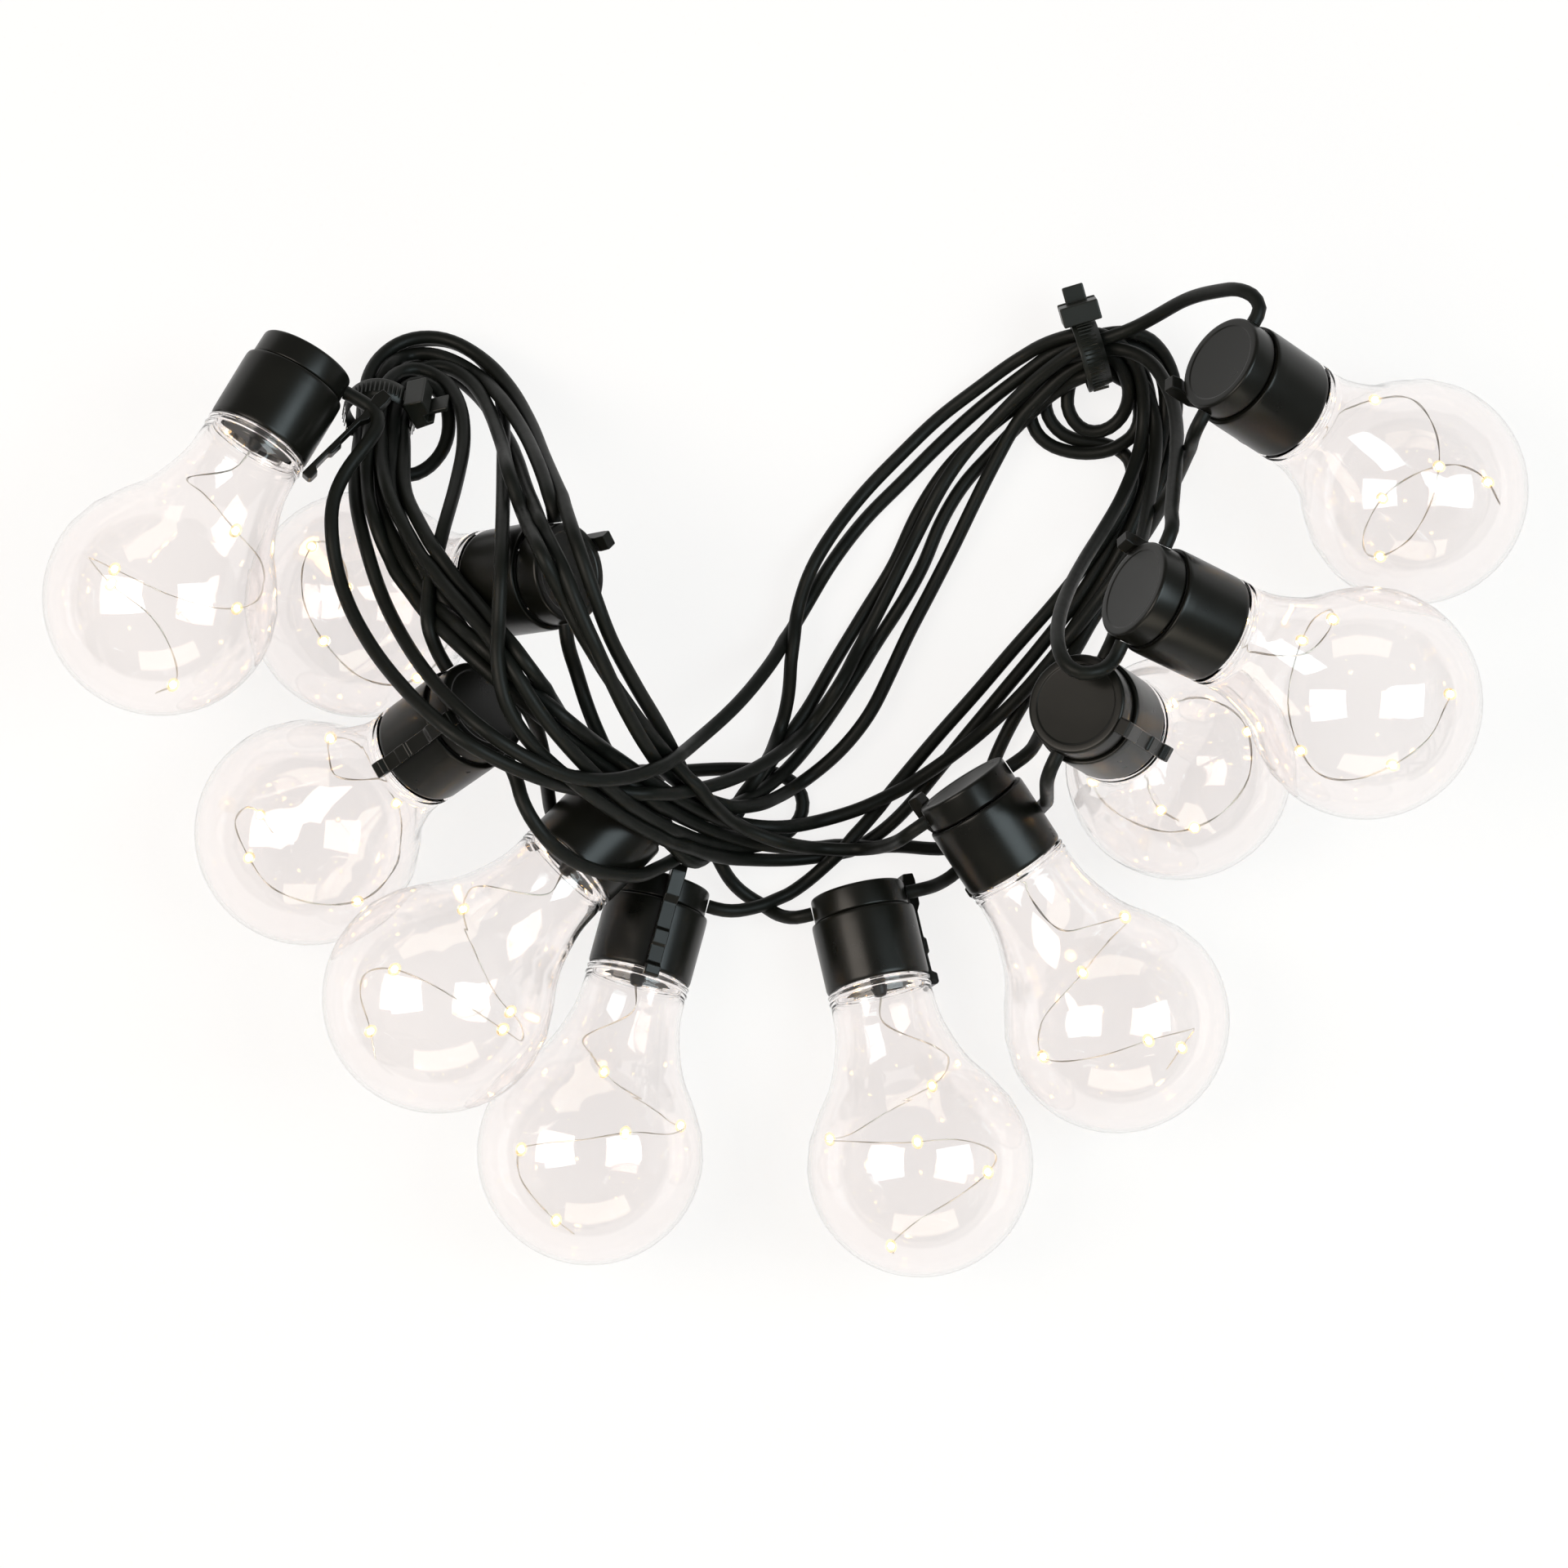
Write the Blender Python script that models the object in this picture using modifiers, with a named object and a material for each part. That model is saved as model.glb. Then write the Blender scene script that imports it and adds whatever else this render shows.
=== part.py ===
"""Party string lights: ten clear lamps on one rubber cord, tied up as a bundle that lies on a table.

Units are metres and +Z is up. Each lamp has its own frame: its origin is the middle of its cap, +Z
runs from the globe to the cap, +X runs along the cord through the cap and +Y is its upper side.
"""

import math

import bpy
from mathutils import Matrix, Vector

# Driving dimensions
CORD_R = 0.00185
GAP = 0.0003  # between solids that touch on the real object

GLOBE_R = 0.030
MOUTH_TO_GLOBE = 0.0493  # from the holder's mouth to the middle of the globe
BULB_WALL = 0.0010
NECK_R = 0.0120  # the part of the bulb that sits inside the shell
NECK_IN = 0.0085  # how far the neck goes in
FLANGE_OUT = 0.0020  # how far the flange stands out of the neck
FLANGE_LENGTH = 0.0024
# Down the throat: how far it has widened from the flange to the globe, and how far down it is
THROAT = ((0.025, 0.231), (0.206, 0.422), (0.569, 0.615), (0.844, 0.763))
BULB_STEPS = 14

SHELL_WALL = 0.0017
SHELL_LENGTH = 0.0190
SHELL_CHAMFER = 0.0006

CAP_IN = 0.00125  # how far the cap steps in from the shell
CAP_LENGTH = 0.0070
CAP_WALL = 0.0015
CAP_ROUND = 0.0012
HOLDER_STEPS = 20

PLUG_THICK = 0.0020
PLUG_STEM_R = 0.0030
PLUG_STUB_R = 0.0016
PLUG_STUB_OUT = 0.0028  # how far the stub stands out of the plug's disc

CLIP_WIDTH = 0.0040
CLIP_THICK = 0.0013
CLIP_BLOCK = 0.0026  # how far the end blocks stand off the shell
CLIP_PAST_MOUTH = 0.0020
CLIP_PAST_CAP = 0.0026

TIE_WIDTH = 0.0067
TIE_THICK = 0.0014
TIE_HEAD = (0.0095, 0.0062, 0.0125)
TIE_TAIL = (0.0013, 0.0036, 0.0058)
TIE_STEPS = 20
TIE_SLACK = 0.0009  # between a bundle and its tie

COIL_R = 0.0128
COIL_HOLE_R = 0.0048
COIL_HEIGHT = 0.0086

# The lamps' places below are for lamps of these sizes. Larger lamps lie further apart, cords as chosen.
PLACED_GLOBE_R = 0.0300
PLACED_HOLDER_R = 0.0140
PLACED_LENGTH = 0.1056

# Each lamp: the middle of its globe, the heading from globe to cap in degrees from +X, the cap's rise
# in degrees, the clip's place round the holder from +Y towards +X, and how far the clip stands open.
LAMPS = {
    "lamp1": ((-0.1629, 0.0467, 0.0673), 61.0, -15.0, -90.0, 14.0),
    "lamp2": ((-0.1152, 0.0469, 0.0300), 6.0, 40.0, 150.0, 0.0),
    "lamp3": ((-0.1294, -0.0135, 0.0300), 33.0, 38.0, 5.0, 0.0),
    "lamp4": ((-0.0928, -0.0559, 0.0560), 45.4, -14.0, 130.0, 0.0),
    "lamp5": ((-0.0547, -0.0981, 0.0300), 75.0, -13.0, -12.0, 0.0),
    "lamp6": ((0.0326, -0.1013, 0.0300), 102.9, -13.0, -116.0, 0.0),
    "lamp7": ((0.0846, -0.0632, 0.0300), 123.5, 6.0, 130.0, 0.0),
    "lamp8": ((0.1011, 0.0038, 0.0300), 154.0, 62.0, 2.0, 0.0),
    "lamp9": ((0.1451, 0.0201, 0.0680), 156.0, 26.0, -135.0, 0.0),
    "lamp10": ((0.1635, 0.0768, 0.0300), 151.6, 33.0, 140.0, 0.0),
}

# The bundle's solids: points along the middle, then its half width and half height.
BUNDLES = {
    "bundle_left": (
        [
            (-0.1074, 0.1053, 0.0240),
            (-0.1079, 0.0973, 0.0300),
            (-0.1089, 0.0823, 0.0480),
            (-0.1099, 0.0673, 0.0660),
            (-0.1104, 0.0493, 0.0740),
            (-0.1054, 0.0323, 0.0820),
            (-0.0954, 0.0173, 0.0965),
            (-0.0809, 0.0043, 0.0985),
            (-0.0644, -0.0057, 0.0860),
            (-0.0474, -0.0097, 0.0730),
            (-0.0324, -0.0087, 0.0600),
            (-0.0184, -0.0047, 0.0380),
            (-0.0094, -0.0007, 0.0200),
        ],
        0.0075,
        0.0075,
    ),
    "bundle_loop": (
        [
            (-0.1074, 0.1143, 0.0160),
            (-0.0984, 0.1178, 0.0100),
            (-0.0899, 0.1143, 0.0120),
            (-0.0824, 0.1043, 0.0290),
            (-0.0754, 0.0923, 0.0580),
            (-0.0694, 0.0793, 0.0840),
            (-0.0634, 0.0643, 0.0975),
            (-0.0569, 0.0473, 0.1010),
            (-0.0489, 0.0313, 0.0920),
            (-0.0404, 0.0173, 0.0720),
            (-0.0334, 0.0103, 0.0560),
        ],
        0.0065,
        0.0065,
    ),
    "bundle_upper": (
        [
            (-0.0044, 0.0073, 0.0110),
            (0.0026, 0.0183, 0.0070),
            (0.0086, 0.0343, 0.0062),
            (0.0196, 0.0553, 0.0062),
            (0.0356, 0.0753, 0.0070),
            (0.0526, 0.0938, 0.0110),
            (0.0656, 0.1063, 0.0170),
            (0.0766, 0.1128, 0.0200),
            (0.0876, 0.1173, 0.0190),
        ],
        0.0075,
        0.0060,
    ),
    "bundle_right": (
        [
            (0.0946, 0.1168, 0.0160),
            (0.1006, 0.1113, 0.0130),
            (0.0996, 0.0973, 0.0090),
            (0.0926, 0.0773, 0.0065),
            (0.0776, 0.0553, 0.0062),
            (0.0536, 0.0313, 0.0062),
            (0.0356, 0.0103, 0.0062),
            (0.0196, -0.0087, 0.0070),
            (0.0066, -0.0157, 0.0100),
        ],
        0.0065,
        0.0058,
    ),
}

COIL_CENTRE = (0.0778, 0.0983, 0.0000)

# The stretches of cord that run free between a cap and the bundle, or between two caps.
FREE_CORDS = {
    "cord_lamp5": [
        (-0.0230, -0.0338, 0.0138),
        (-0.0184, -0.0350, 0.0120),
        (-0.0124, -0.0363, 0.0080),
        (-0.0034, -0.0357, 0.0050),
        (0.0046, -0.0307, 0.0050),
        (0.0116, -0.0252, 0.0060),
    ],
    "cord_lamp7": [
        (0.0561, 0.0039, 0.0375),
        (0.0596, 0.0063, 0.0375),
        (0.0659, 0.0101, 0.0330),
        (0.0685, 0.0166, 0.0260),
        (0.0680, 0.0235, 0.0180),
        (0.0641, 0.0300, 0.0120),
    ],
    "cord_lamp10": [
        (0.1171, 0.1179, 0.0693),
        (0.1191, 0.1223, 0.0690),
        (0.1181, 0.1293, 0.0610),
        (0.1096, 0.1343, 0.0450),
        (0.1006, 0.1318, 0.0320),
        (0.0951, 0.1263, 0.0250),
    ],
}

# Each tie: the bundle that it holds, which of its points it sits at, and where its head lies round it.
TIES = {"tie_left": ("bundle_left", 1, -70.0), "tie_right": ("bundle_upper", 7, -75.0)}

# Sizes that follow from the ones above, along a lamp's axis
CAP_TOP = CAP_LENGTH / 2
CAP_FOOT = -CAP_LENGTH / 2
SHELL_TOP = CAP_FOOT - GAP
MOUTH = SHELL_TOP - SHELL_LENGTH
GLOBE_Z = MOUTH - MOUTH_TO_GLOBE
NECK_INSIDE_R = NECK_R - BULB_WALL
FLANGE_R = NECK_R + FLANGE_OUT
SHELL_INSIDE_R = NECK_R + GAP
SHELL_R = SHELL_INSIDE_R + SHELL_WALL
CAP_R = SHELL_R - CAP_IN
HINGE_R = max(SHELL_R, FLANGE_R, CAP_R) + GAP + 0.0001  # the clip's inner face
HINGE_Z = MOUTH - GAP - CLIP_PAST_MOUTH
LAMP_LENGTH = CAP_TOP - GLOBE_Z + GLOBE_R
HOLDER_R = max(SHELL_R, CAP_R)
SPREAD = max(
    1.0,
    GLOBE_R / PLACED_GLOBE_R,
    HOLDER_R / PLACED_HOLDER_R,
    LAMP_LENGTH / PLACED_LENGTH,
)

MATERIALS = {
    "holder_plastic": ((0.020, 0.021, 0.018), 0.32, 0.0, 1.0),
    "clear_plastic": ((0.94, 0.91, 0.90), 0.05, 0.0, 0.25),
    "plug_plastic": ((0.012, 0.012, 0.011), 0.45, 0.0, 1.0),
    "cord_rubber": ((0.018, 0.019, 0.016), 0.55, 0.0, 1.0),
    "tie_nylon": ((0.024, 0.026, 0.020), 0.38, 0.0, 1.0),
}


def clear_scene():
    for obj in list(bpy.data.objects):
        bpy.data.objects.remove(obj, do_unlink=True)


def new_collection(name):
    collection = bpy.data.collections.new(name)
    bpy.context.scene.collection.children.link(collection)
    return collection


def paint(obj, look):
    """Gives the object a material of its own, of the named look."""
    color, roughness, metallic, alpha = MATERIALS[look]
    material = bpy.data.materials.new(obj.name)
    material.use_nodes = True
    shader = material.node_tree.nodes["Principled BSDF"]
    shader.inputs["Base Color"].default_value = (*color, 1.0)
    shader.inputs["Roughness"].default_value = roughness
    shader.inputs["Metallic"].default_value = metallic
    shader.inputs["Alpha"].default_value = alpha
    obj.data.materials.append(material)


def add_object(name, data, parent=None, local=None, cutter=False):
    obj = bpy.data.objects.new(name, data)
    (CUTTERS if cutter else PARTS).objects.link(obj)
    obj.parent = parent
    if local is not None:
        obj.matrix_local = local
    if cutter:
        obj.hide_render = True
        obj.display_type = "WIRE"
    return obj


def turned(name, profile, steps, look, parent=None, closed=False, cutter=False):
    """A solid or a surface turned round Z from (radius, height) points that run down its outer side."""
    points = [(radius, 0.0, height) for radius, height in profile]
    edges = [(i, i + 1) for i in range(len(points) - 1)]
    if closed:
        edges.append((len(points) - 1, 0))
    mesh = bpy.data.meshes.new(name)
    mesh.from_pydata(points, edges, [])
    obj = add_object(name, mesh, parent, cutter=cutter)
    screw = obj.modifiers.new("turn", "SCREW")
    screw.axis = "Z"
    screw.steps = steps
    screw.render_steps = steps
    screw.use_merge_vertices = True
    screw.merge_threshold = 0.00001
    screw.use_smooth_shade = True
    if look:
        paint(obj, look)
    return obj


def box(name, size, local, parent=None):
    """A box for a Boolean union, hidden like every cutter."""
    bpy.ops.mesh.primitive_cube_add(size=1.0)
    made = bpy.context.object
    mesh = made.data
    bpy.data.objects.remove(made)
    mesh.transform(Matrix.Diagonal((*size, 1.0)))
    return add_object(name, mesh, parent, local, cutter=True)


def boolean(obj, other, operation):
    modifier = obj.modifiers.new(other.name, "BOOLEAN")
    modifier.operation = operation
    modifier.object = other
    modifier.solver = "EXACT"


def smooth_route(points, step):
    """Points about step apart on a smooth curve (centripetal Catmull-Rom) through the chosen ones."""
    nodes = [Vector(p) for p in points]
    nodes = [2 * nodes[0] - nodes[1], *nodes, 2 * nodes[-1] - nodes[-2]]
    route = []
    for a, b, c, d in zip(nodes, nodes[1:], nodes[2:], nodes[3:]):
        t1 = (b - a).length ** 0.5
        t2 = t1 + (c - b).length ** 0.5
        t3 = t2 + (d - c).length ** 0.5
        count = max(1, round((c - b).length / step))
        for i in range(count):
            t = t1 + (t2 - t1) * i / count
            ab = a.lerp(b, t / t1)
            bc = b.lerp(c, (t - t1) / (t2 - t1))
            cd = c.lerp(d, (t - t2) / (t3 - t2))
            left = ab.lerp(bc, t / t2)
            right = bc.lerp(cd, (t - t1) / (t3 - t1))
            route.append(left.lerp(right, (t - t1) / (t2 - t1)))
    return [*route, nodes[-2]]


def tube(name, route, half_width, half_height, resolution, look):
    """A tube along a route, with an upright oval section, on a polyline spline."""
    squeeze = half_height / half_width
    curve = bpy.data.curves.new(name, "CURVE")
    curve.dimensions = "3D"
    curve.bevel_depth = half_width
    curve.bevel_resolution = resolution
    curve.use_fill_caps = True
    spline = curve.splines.new("POLY")
    spline.points.add(len(route) - 1)
    for point, place in zip(spline.points, route):
        point.co = (place.x, place.y, place.z / squeeze, 1.0)
    obj = add_object(name, curve, local=Matrix.Diagonal((1.0, 1.0, squeeze, 1.0)))
    paint(obj, look)
    return obj


def bulb_profile():
    """Down the bulb's outside: neck, flange, throat and globe to the tip."""
    mouth = MOUTH - GAP
    points = [(NECK_R, mouth + NECK_IN), (NECK_R, mouth)]
    points += [(FLANGE_R, mouth), (FLANGE_R, mouth - FLANGE_LENGTH)]
    for widened, down in THROAT:
        points.append((FLANGE_R + widened * (GLOBE_R - FLANGE_R), MOUTH - down * MOUTH_TO_GLOBE))
    for angle in (0, 30, 60):
        turn = math.radians(angle)
        points.append((GLOBE_R * math.cos(turn), GLOBE_Z - GLOBE_R * math.sin(turn)))
    points.append((0.0, GLOBE_Z - GLOBE_R))
    return points


def build_bulb(lamp, hinge):
    bulb = turned(f"{lamp}_bulb", bulb_profile(), BULB_STEPS, "clear_plastic", hinge)
    wall = bulb.modifiers.new("wall", "SOLIDIFY")
    wall.thickness = BULB_WALL
    wall.offset = -1.0


def build_shell(lamp, hinge):
    profile = [
        (SHELL_R - SHELL_CHAMFER, SHELL_TOP),
        (SHELL_R, SHELL_TOP - SHELL_CHAMFER),
        (SHELL_R, MOUTH),
        (SHELL_INSIDE_R, MOUTH),
        (SHELL_INSIDE_R, SHELL_TOP),
    ]
    turned(f"{lamp}_shell", profile, HOLDER_STEPS, "holder_plastic", hinge, closed=True)


def build_cap(lamp, hinge):
    inside = CAP_R - CAP_WALL
    profile = [
        (0.0, CAP_TOP),
        (CAP_R - CAP_ROUND, CAP_TOP),
        (CAP_R - CAP_ROUND / 4, CAP_TOP - CAP_ROUND / 3),
        (CAP_R, CAP_TOP - CAP_ROUND),
        (CAP_R, CAP_FOOT),
        (inside, CAP_FOOT),
        (inside, CAP_TOP - CAP_WALL),
        (0.0, CAP_TOP - CAP_WALL),
    ]
    cap = turned(f"{lamp}_cap", profile, HOLDER_STEPS, "holder_plastic", hinge)
    bore_r = CORD_R + GAP
    reach = CAP_R + 0.002
    bore = [(0.0, reach), (bore_r, reach), (bore_r, -reach), (0.0, -reach)]
    drill = turned(f"{lamp}_bore", bore, 12, None, hinge, cutter=True)
    drill.matrix_local = Matrix.Rotation(math.radians(90), 4, "Y")
    boolean(cap, drill, "DIFFERENCE")


def build_plug(lamp, hinge):
    """The black plug in the bulb's neck that the light wire comes out of."""
    radius = NECK_INSIDE_R - GAP
    face = MOUTH + 0.0008
    back = face + PLUG_THICK
    profile = [
        (0.0, SHELL_TOP - 0.002),
        (PLUG_STEM_R, SHELL_TOP - 0.002),
        (PLUG_STEM_R, back),
        (radius, back),
        (radius, face),
        (PLUG_STUB_R, face),
        (PLUG_STUB_R, face - PLUG_STUB_OUT),
        (0.0, face - PLUG_STUB_OUT),
    ]
    turned(f"{lamp}_led_plug", profile, 12, "plug_plastic", hinge)


def build_clip(lamp, hinge, around, opened):
    """The hanging clip along the holder. Its origin is on its hinge, at the holder's mouth."""
    top = CAP_TOP + CLIP_PAST_CAP - HINGE_Z
    shell_top = SHELL_TOP - HINGE_Z
    block_in = CAP_R + GAP - HINGE_R
    outline = [
        (0.0, 0.0),
        (CLIP_BLOCK, 0.0),
        (CLIP_BLOCK, CLIP_BLOCK),
        (CLIP_THICK, CLIP_BLOCK + 0.0009),
        (CLIP_THICK, shell_top - 0.0002),
        (CLIP_BLOCK, shell_top + 0.0012),
        (CLIP_BLOCK, top - 0.0005),
        (CLIP_BLOCK - 0.0006, top),
        (block_in, top),
        (block_in, top - CLIP_PAST_CAP),
        (0.0, shell_top + 0.0012),
    ]
    curve = bpy.data.curves.new(f"{lamp}_clip", "CURVE")
    curve.dimensions = "2D"
    curve.fill_mode = "BOTH"
    curve.extrude = CLIP_WIDTH / 2
    spline = curve.splines.new("POLY")
    spline.points.add(len(outline) - 1)
    for point, (out, up) in zip(spline.points, outline):
        point.co = (out, up, 0.0, 1.0)
    spline.use_cyclic_u = True
    turn = math.radians(around)
    outward = Vector((math.sin(turn), math.cos(turn), 0.0))
    upward = Vector((0.0, 0.0, 1.0))
    across = outward.cross(upward)
    frame = Matrix((outward, upward, across)).transposed().to_4x4()
    frame.translation = outward * HINGE_R + upward * HINGE_Z
    frame = frame @ Matrix.Rotation(-math.radians(opened), 4, "Z")
    clip = add_object(f"{lamp}_clip", curve, hinge, frame)
    paint(clip, "holder_plastic")


def lamp_frame(globe, heading, rise):
    """The lamp's frame in the world: origin at the middle of the cap, on the cord's line."""
    plan, tilt = math.radians(heading), math.radians(rise)
    axis = Vector((math.cos(plan) * math.cos(tilt), math.sin(plan) * math.cos(tilt), math.sin(tilt)))
    along_cord = Vector((-math.sin(plan), math.cos(plan), 0.0))
    upper = axis.cross(along_cord)
    frame = Matrix((along_cord, upper, axis)).transposed().to_4x4()
    frame.translation = Vector(globe) - axis * GLOBE_Z
    return frame


def build_lamp(lamp):
    globe, heading, rise, around, opened = LAMPS[lamp]
    hinge = add_object(f"{lamp}_hinge", None)
    hinge.matrix_world = lamp_frame(Vector(globe) * SPREAD, heading, rise)
    build_cap(lamp, hinge)
    build_shell(lamp, hinge)
    build_bulb(lamp, hinge)
    build_plug(lamp, hinge)
    build_clip(lamp, hinge, around, opened)


def build_bundles():
    for name, (points, half_width, half_height) in BUNDLES.items():
        tube(name, smooth_route(points, 0.009), half_width, half_height, 3, "cord_rubber")


def build_coil():
    top = COIL_HEIGHT + GAP
    middle = (COIL_R + COIL_HOLE_R) / 2
    profile = [
        (middle, top),
        (COIL_R - 0.001, top - 0.001),
        (COIL_R, top / 2),
        (COIL_R - 0.001, GAP + 0.001),
        (middle, GAP),
        (COIL_HOLE_R + 0.001, GAP + 0.001),
        (COIL_HOLE_R, top / 2),
        (COIL_HOLE_R + 0.001, top - 0.001),
    ]
    coil = turned("coil_small", profile, 20, "cord_rubber", closed=True)
    coil.location = COIL_CENTRE


def build_ties():
    for name, (bundle, index, head_at) in TIES.items():
        points, half_width, half_height = BUNDLES[bundle]
        before, here, after = (Vector(p) for p in points[index - 1 : index + 2])
        inner = max(half_width, half_height) + TIE_SLACK
        outer = inner + TIE_THICK
        half = TIE_WIDTH / 2
        profile = [(outer, half), (outer, -half), (inner, -half), (inner, half)]
        tie = turned(name, profile, TIE_STEPS, "tie_nylon", closed=True)
        facing = (after - before).normalized().to_track_quat("Z", "Y").to_matrix().to_4x4()
        tie.matrix_world = Matrix.Translation(here) @ facing
        around = Matrix.Rotation(math.radians(head_at), 4, "Z")
        head_out = outer + TIE_HEAD[1] / 2 - 0.0006
        head = box(f"{name}_head", TIE_HEAD, around @ Matrix.Translation((0, head_out, 0)), tie)
        tail_out = outer + TIE_HEAD[1] + TIE_TAIL[1] / 2 - 0.001
        tail = box(f"{name}_tail", TIE_TAIL, around @ Matrix.Translation((0.002, tail_out, 0)), tie)
        boolean(tie, head, "UNION")
        boolean(tie, tail, "UNION")


def build_free_cords():
    for name, points in FREE_CORDS.items():
        route = smooth_route(points, 5 * CORD_R)
        tube(name, route, CORD_R, CORD_R, 2, "cord_rubber")


clear_scene()
PARTS = new_collection("string_lights")
CUTTERS = new_collection("cutters")
CUTTERS.hide_render = True
for lamp_name in LAMPS:
    build_lamp(lamp_name)
build_bundles()
build_coil()
build_ties()
build_free_cords()
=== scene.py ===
"""The looks of the solar string lights: ten clear lamps on one black rubber cord, tied up and laid flat.

Each lamp has its own frame: its origin is the middle of its cap, +Z runs from the globe to the cap, +X
runs along the cord through the cap and +Y is its upper side. Units are metres.
"""

import math
import random

import bpy
import numpy as np
from mathutils import Matrix, Vector


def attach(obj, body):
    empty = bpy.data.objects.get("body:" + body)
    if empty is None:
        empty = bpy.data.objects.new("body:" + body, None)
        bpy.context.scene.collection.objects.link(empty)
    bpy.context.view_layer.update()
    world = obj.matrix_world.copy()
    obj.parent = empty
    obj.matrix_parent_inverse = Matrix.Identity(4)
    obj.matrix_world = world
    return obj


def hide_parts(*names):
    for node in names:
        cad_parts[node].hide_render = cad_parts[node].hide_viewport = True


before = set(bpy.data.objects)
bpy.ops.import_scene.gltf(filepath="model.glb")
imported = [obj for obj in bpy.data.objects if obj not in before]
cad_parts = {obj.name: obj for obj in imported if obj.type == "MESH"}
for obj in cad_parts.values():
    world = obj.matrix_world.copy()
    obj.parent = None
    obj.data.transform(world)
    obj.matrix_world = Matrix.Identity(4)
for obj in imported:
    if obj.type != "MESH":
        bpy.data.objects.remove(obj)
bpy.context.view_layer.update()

CORD_R = 0.00185

# Along a lamp's axis
CAP_TOP = 0.0035
SEAM = -0.0038
MOUTH = -0.0228
GLOBE_Z = MOUTH - 0.0493
GLOBE_R = 0.030
GLOBE_WALL = 0.0009
THROAT_STEP = 0.0022
CLIP_HALF_WIDTH = 0.0020

# A radius below this is a point on the axis
ON_AXIS = 1e-7

# Each lamp: middle of its globe, heading in degrees from +X, rise, its clip's place and how far it is open
LAMPS = {
    "lamp1": ((-0.1629, 0.0467, 0.0673), 61.0, -15.0, -90.0, 14.0),
    "lamp2": ((-0.1152, 0.0469, 0.0300), 6.0, 40.0, 150.0, 0.0),
    "lamp3": ((-0.1294, -0.0135, 0.0300), 33.0, 38.0, 5.0, 0.0),
    "lamp4": ((-0.0928, -0.0559, 0.0560), 45.4, -14.0, 130.0, 0.0),
    "lamp5": ((-0.0547, -0.0981, 0.0300), 75.0, -13.0, -12.0, 0.0),
    "lamp6": ((0.0326, -0.1013, 0.0300), 102.9, -13.0, -116.0, 0.0),
    "lamp7": ((0.0846, -0.0632, 0.0300), 123.5, 6.0, 130.0, 0.0),
    "lamp8": ((0.1011, 0.0038, 0.0300), 154.0, 62.0, 2.0, 0.0),
    "lamp9": ((0.1451, 0.0201, 0.0680), 156.0, 26.0, -135.0, 0.0),
    "lamp10": ((0.1635, 0.0768, 0.0300), 151.6, 33.0, 140.0, 0.0),
}
# Lamps that swing on the cord; the others are held by the lamps that lie on them
SWINGING = ("lamp1", "lamp3", "lamp4", "lamp6", "lamp7", "lamp9", "lamp10")
CLIPS_FIXED = ("lamp3",)

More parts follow.
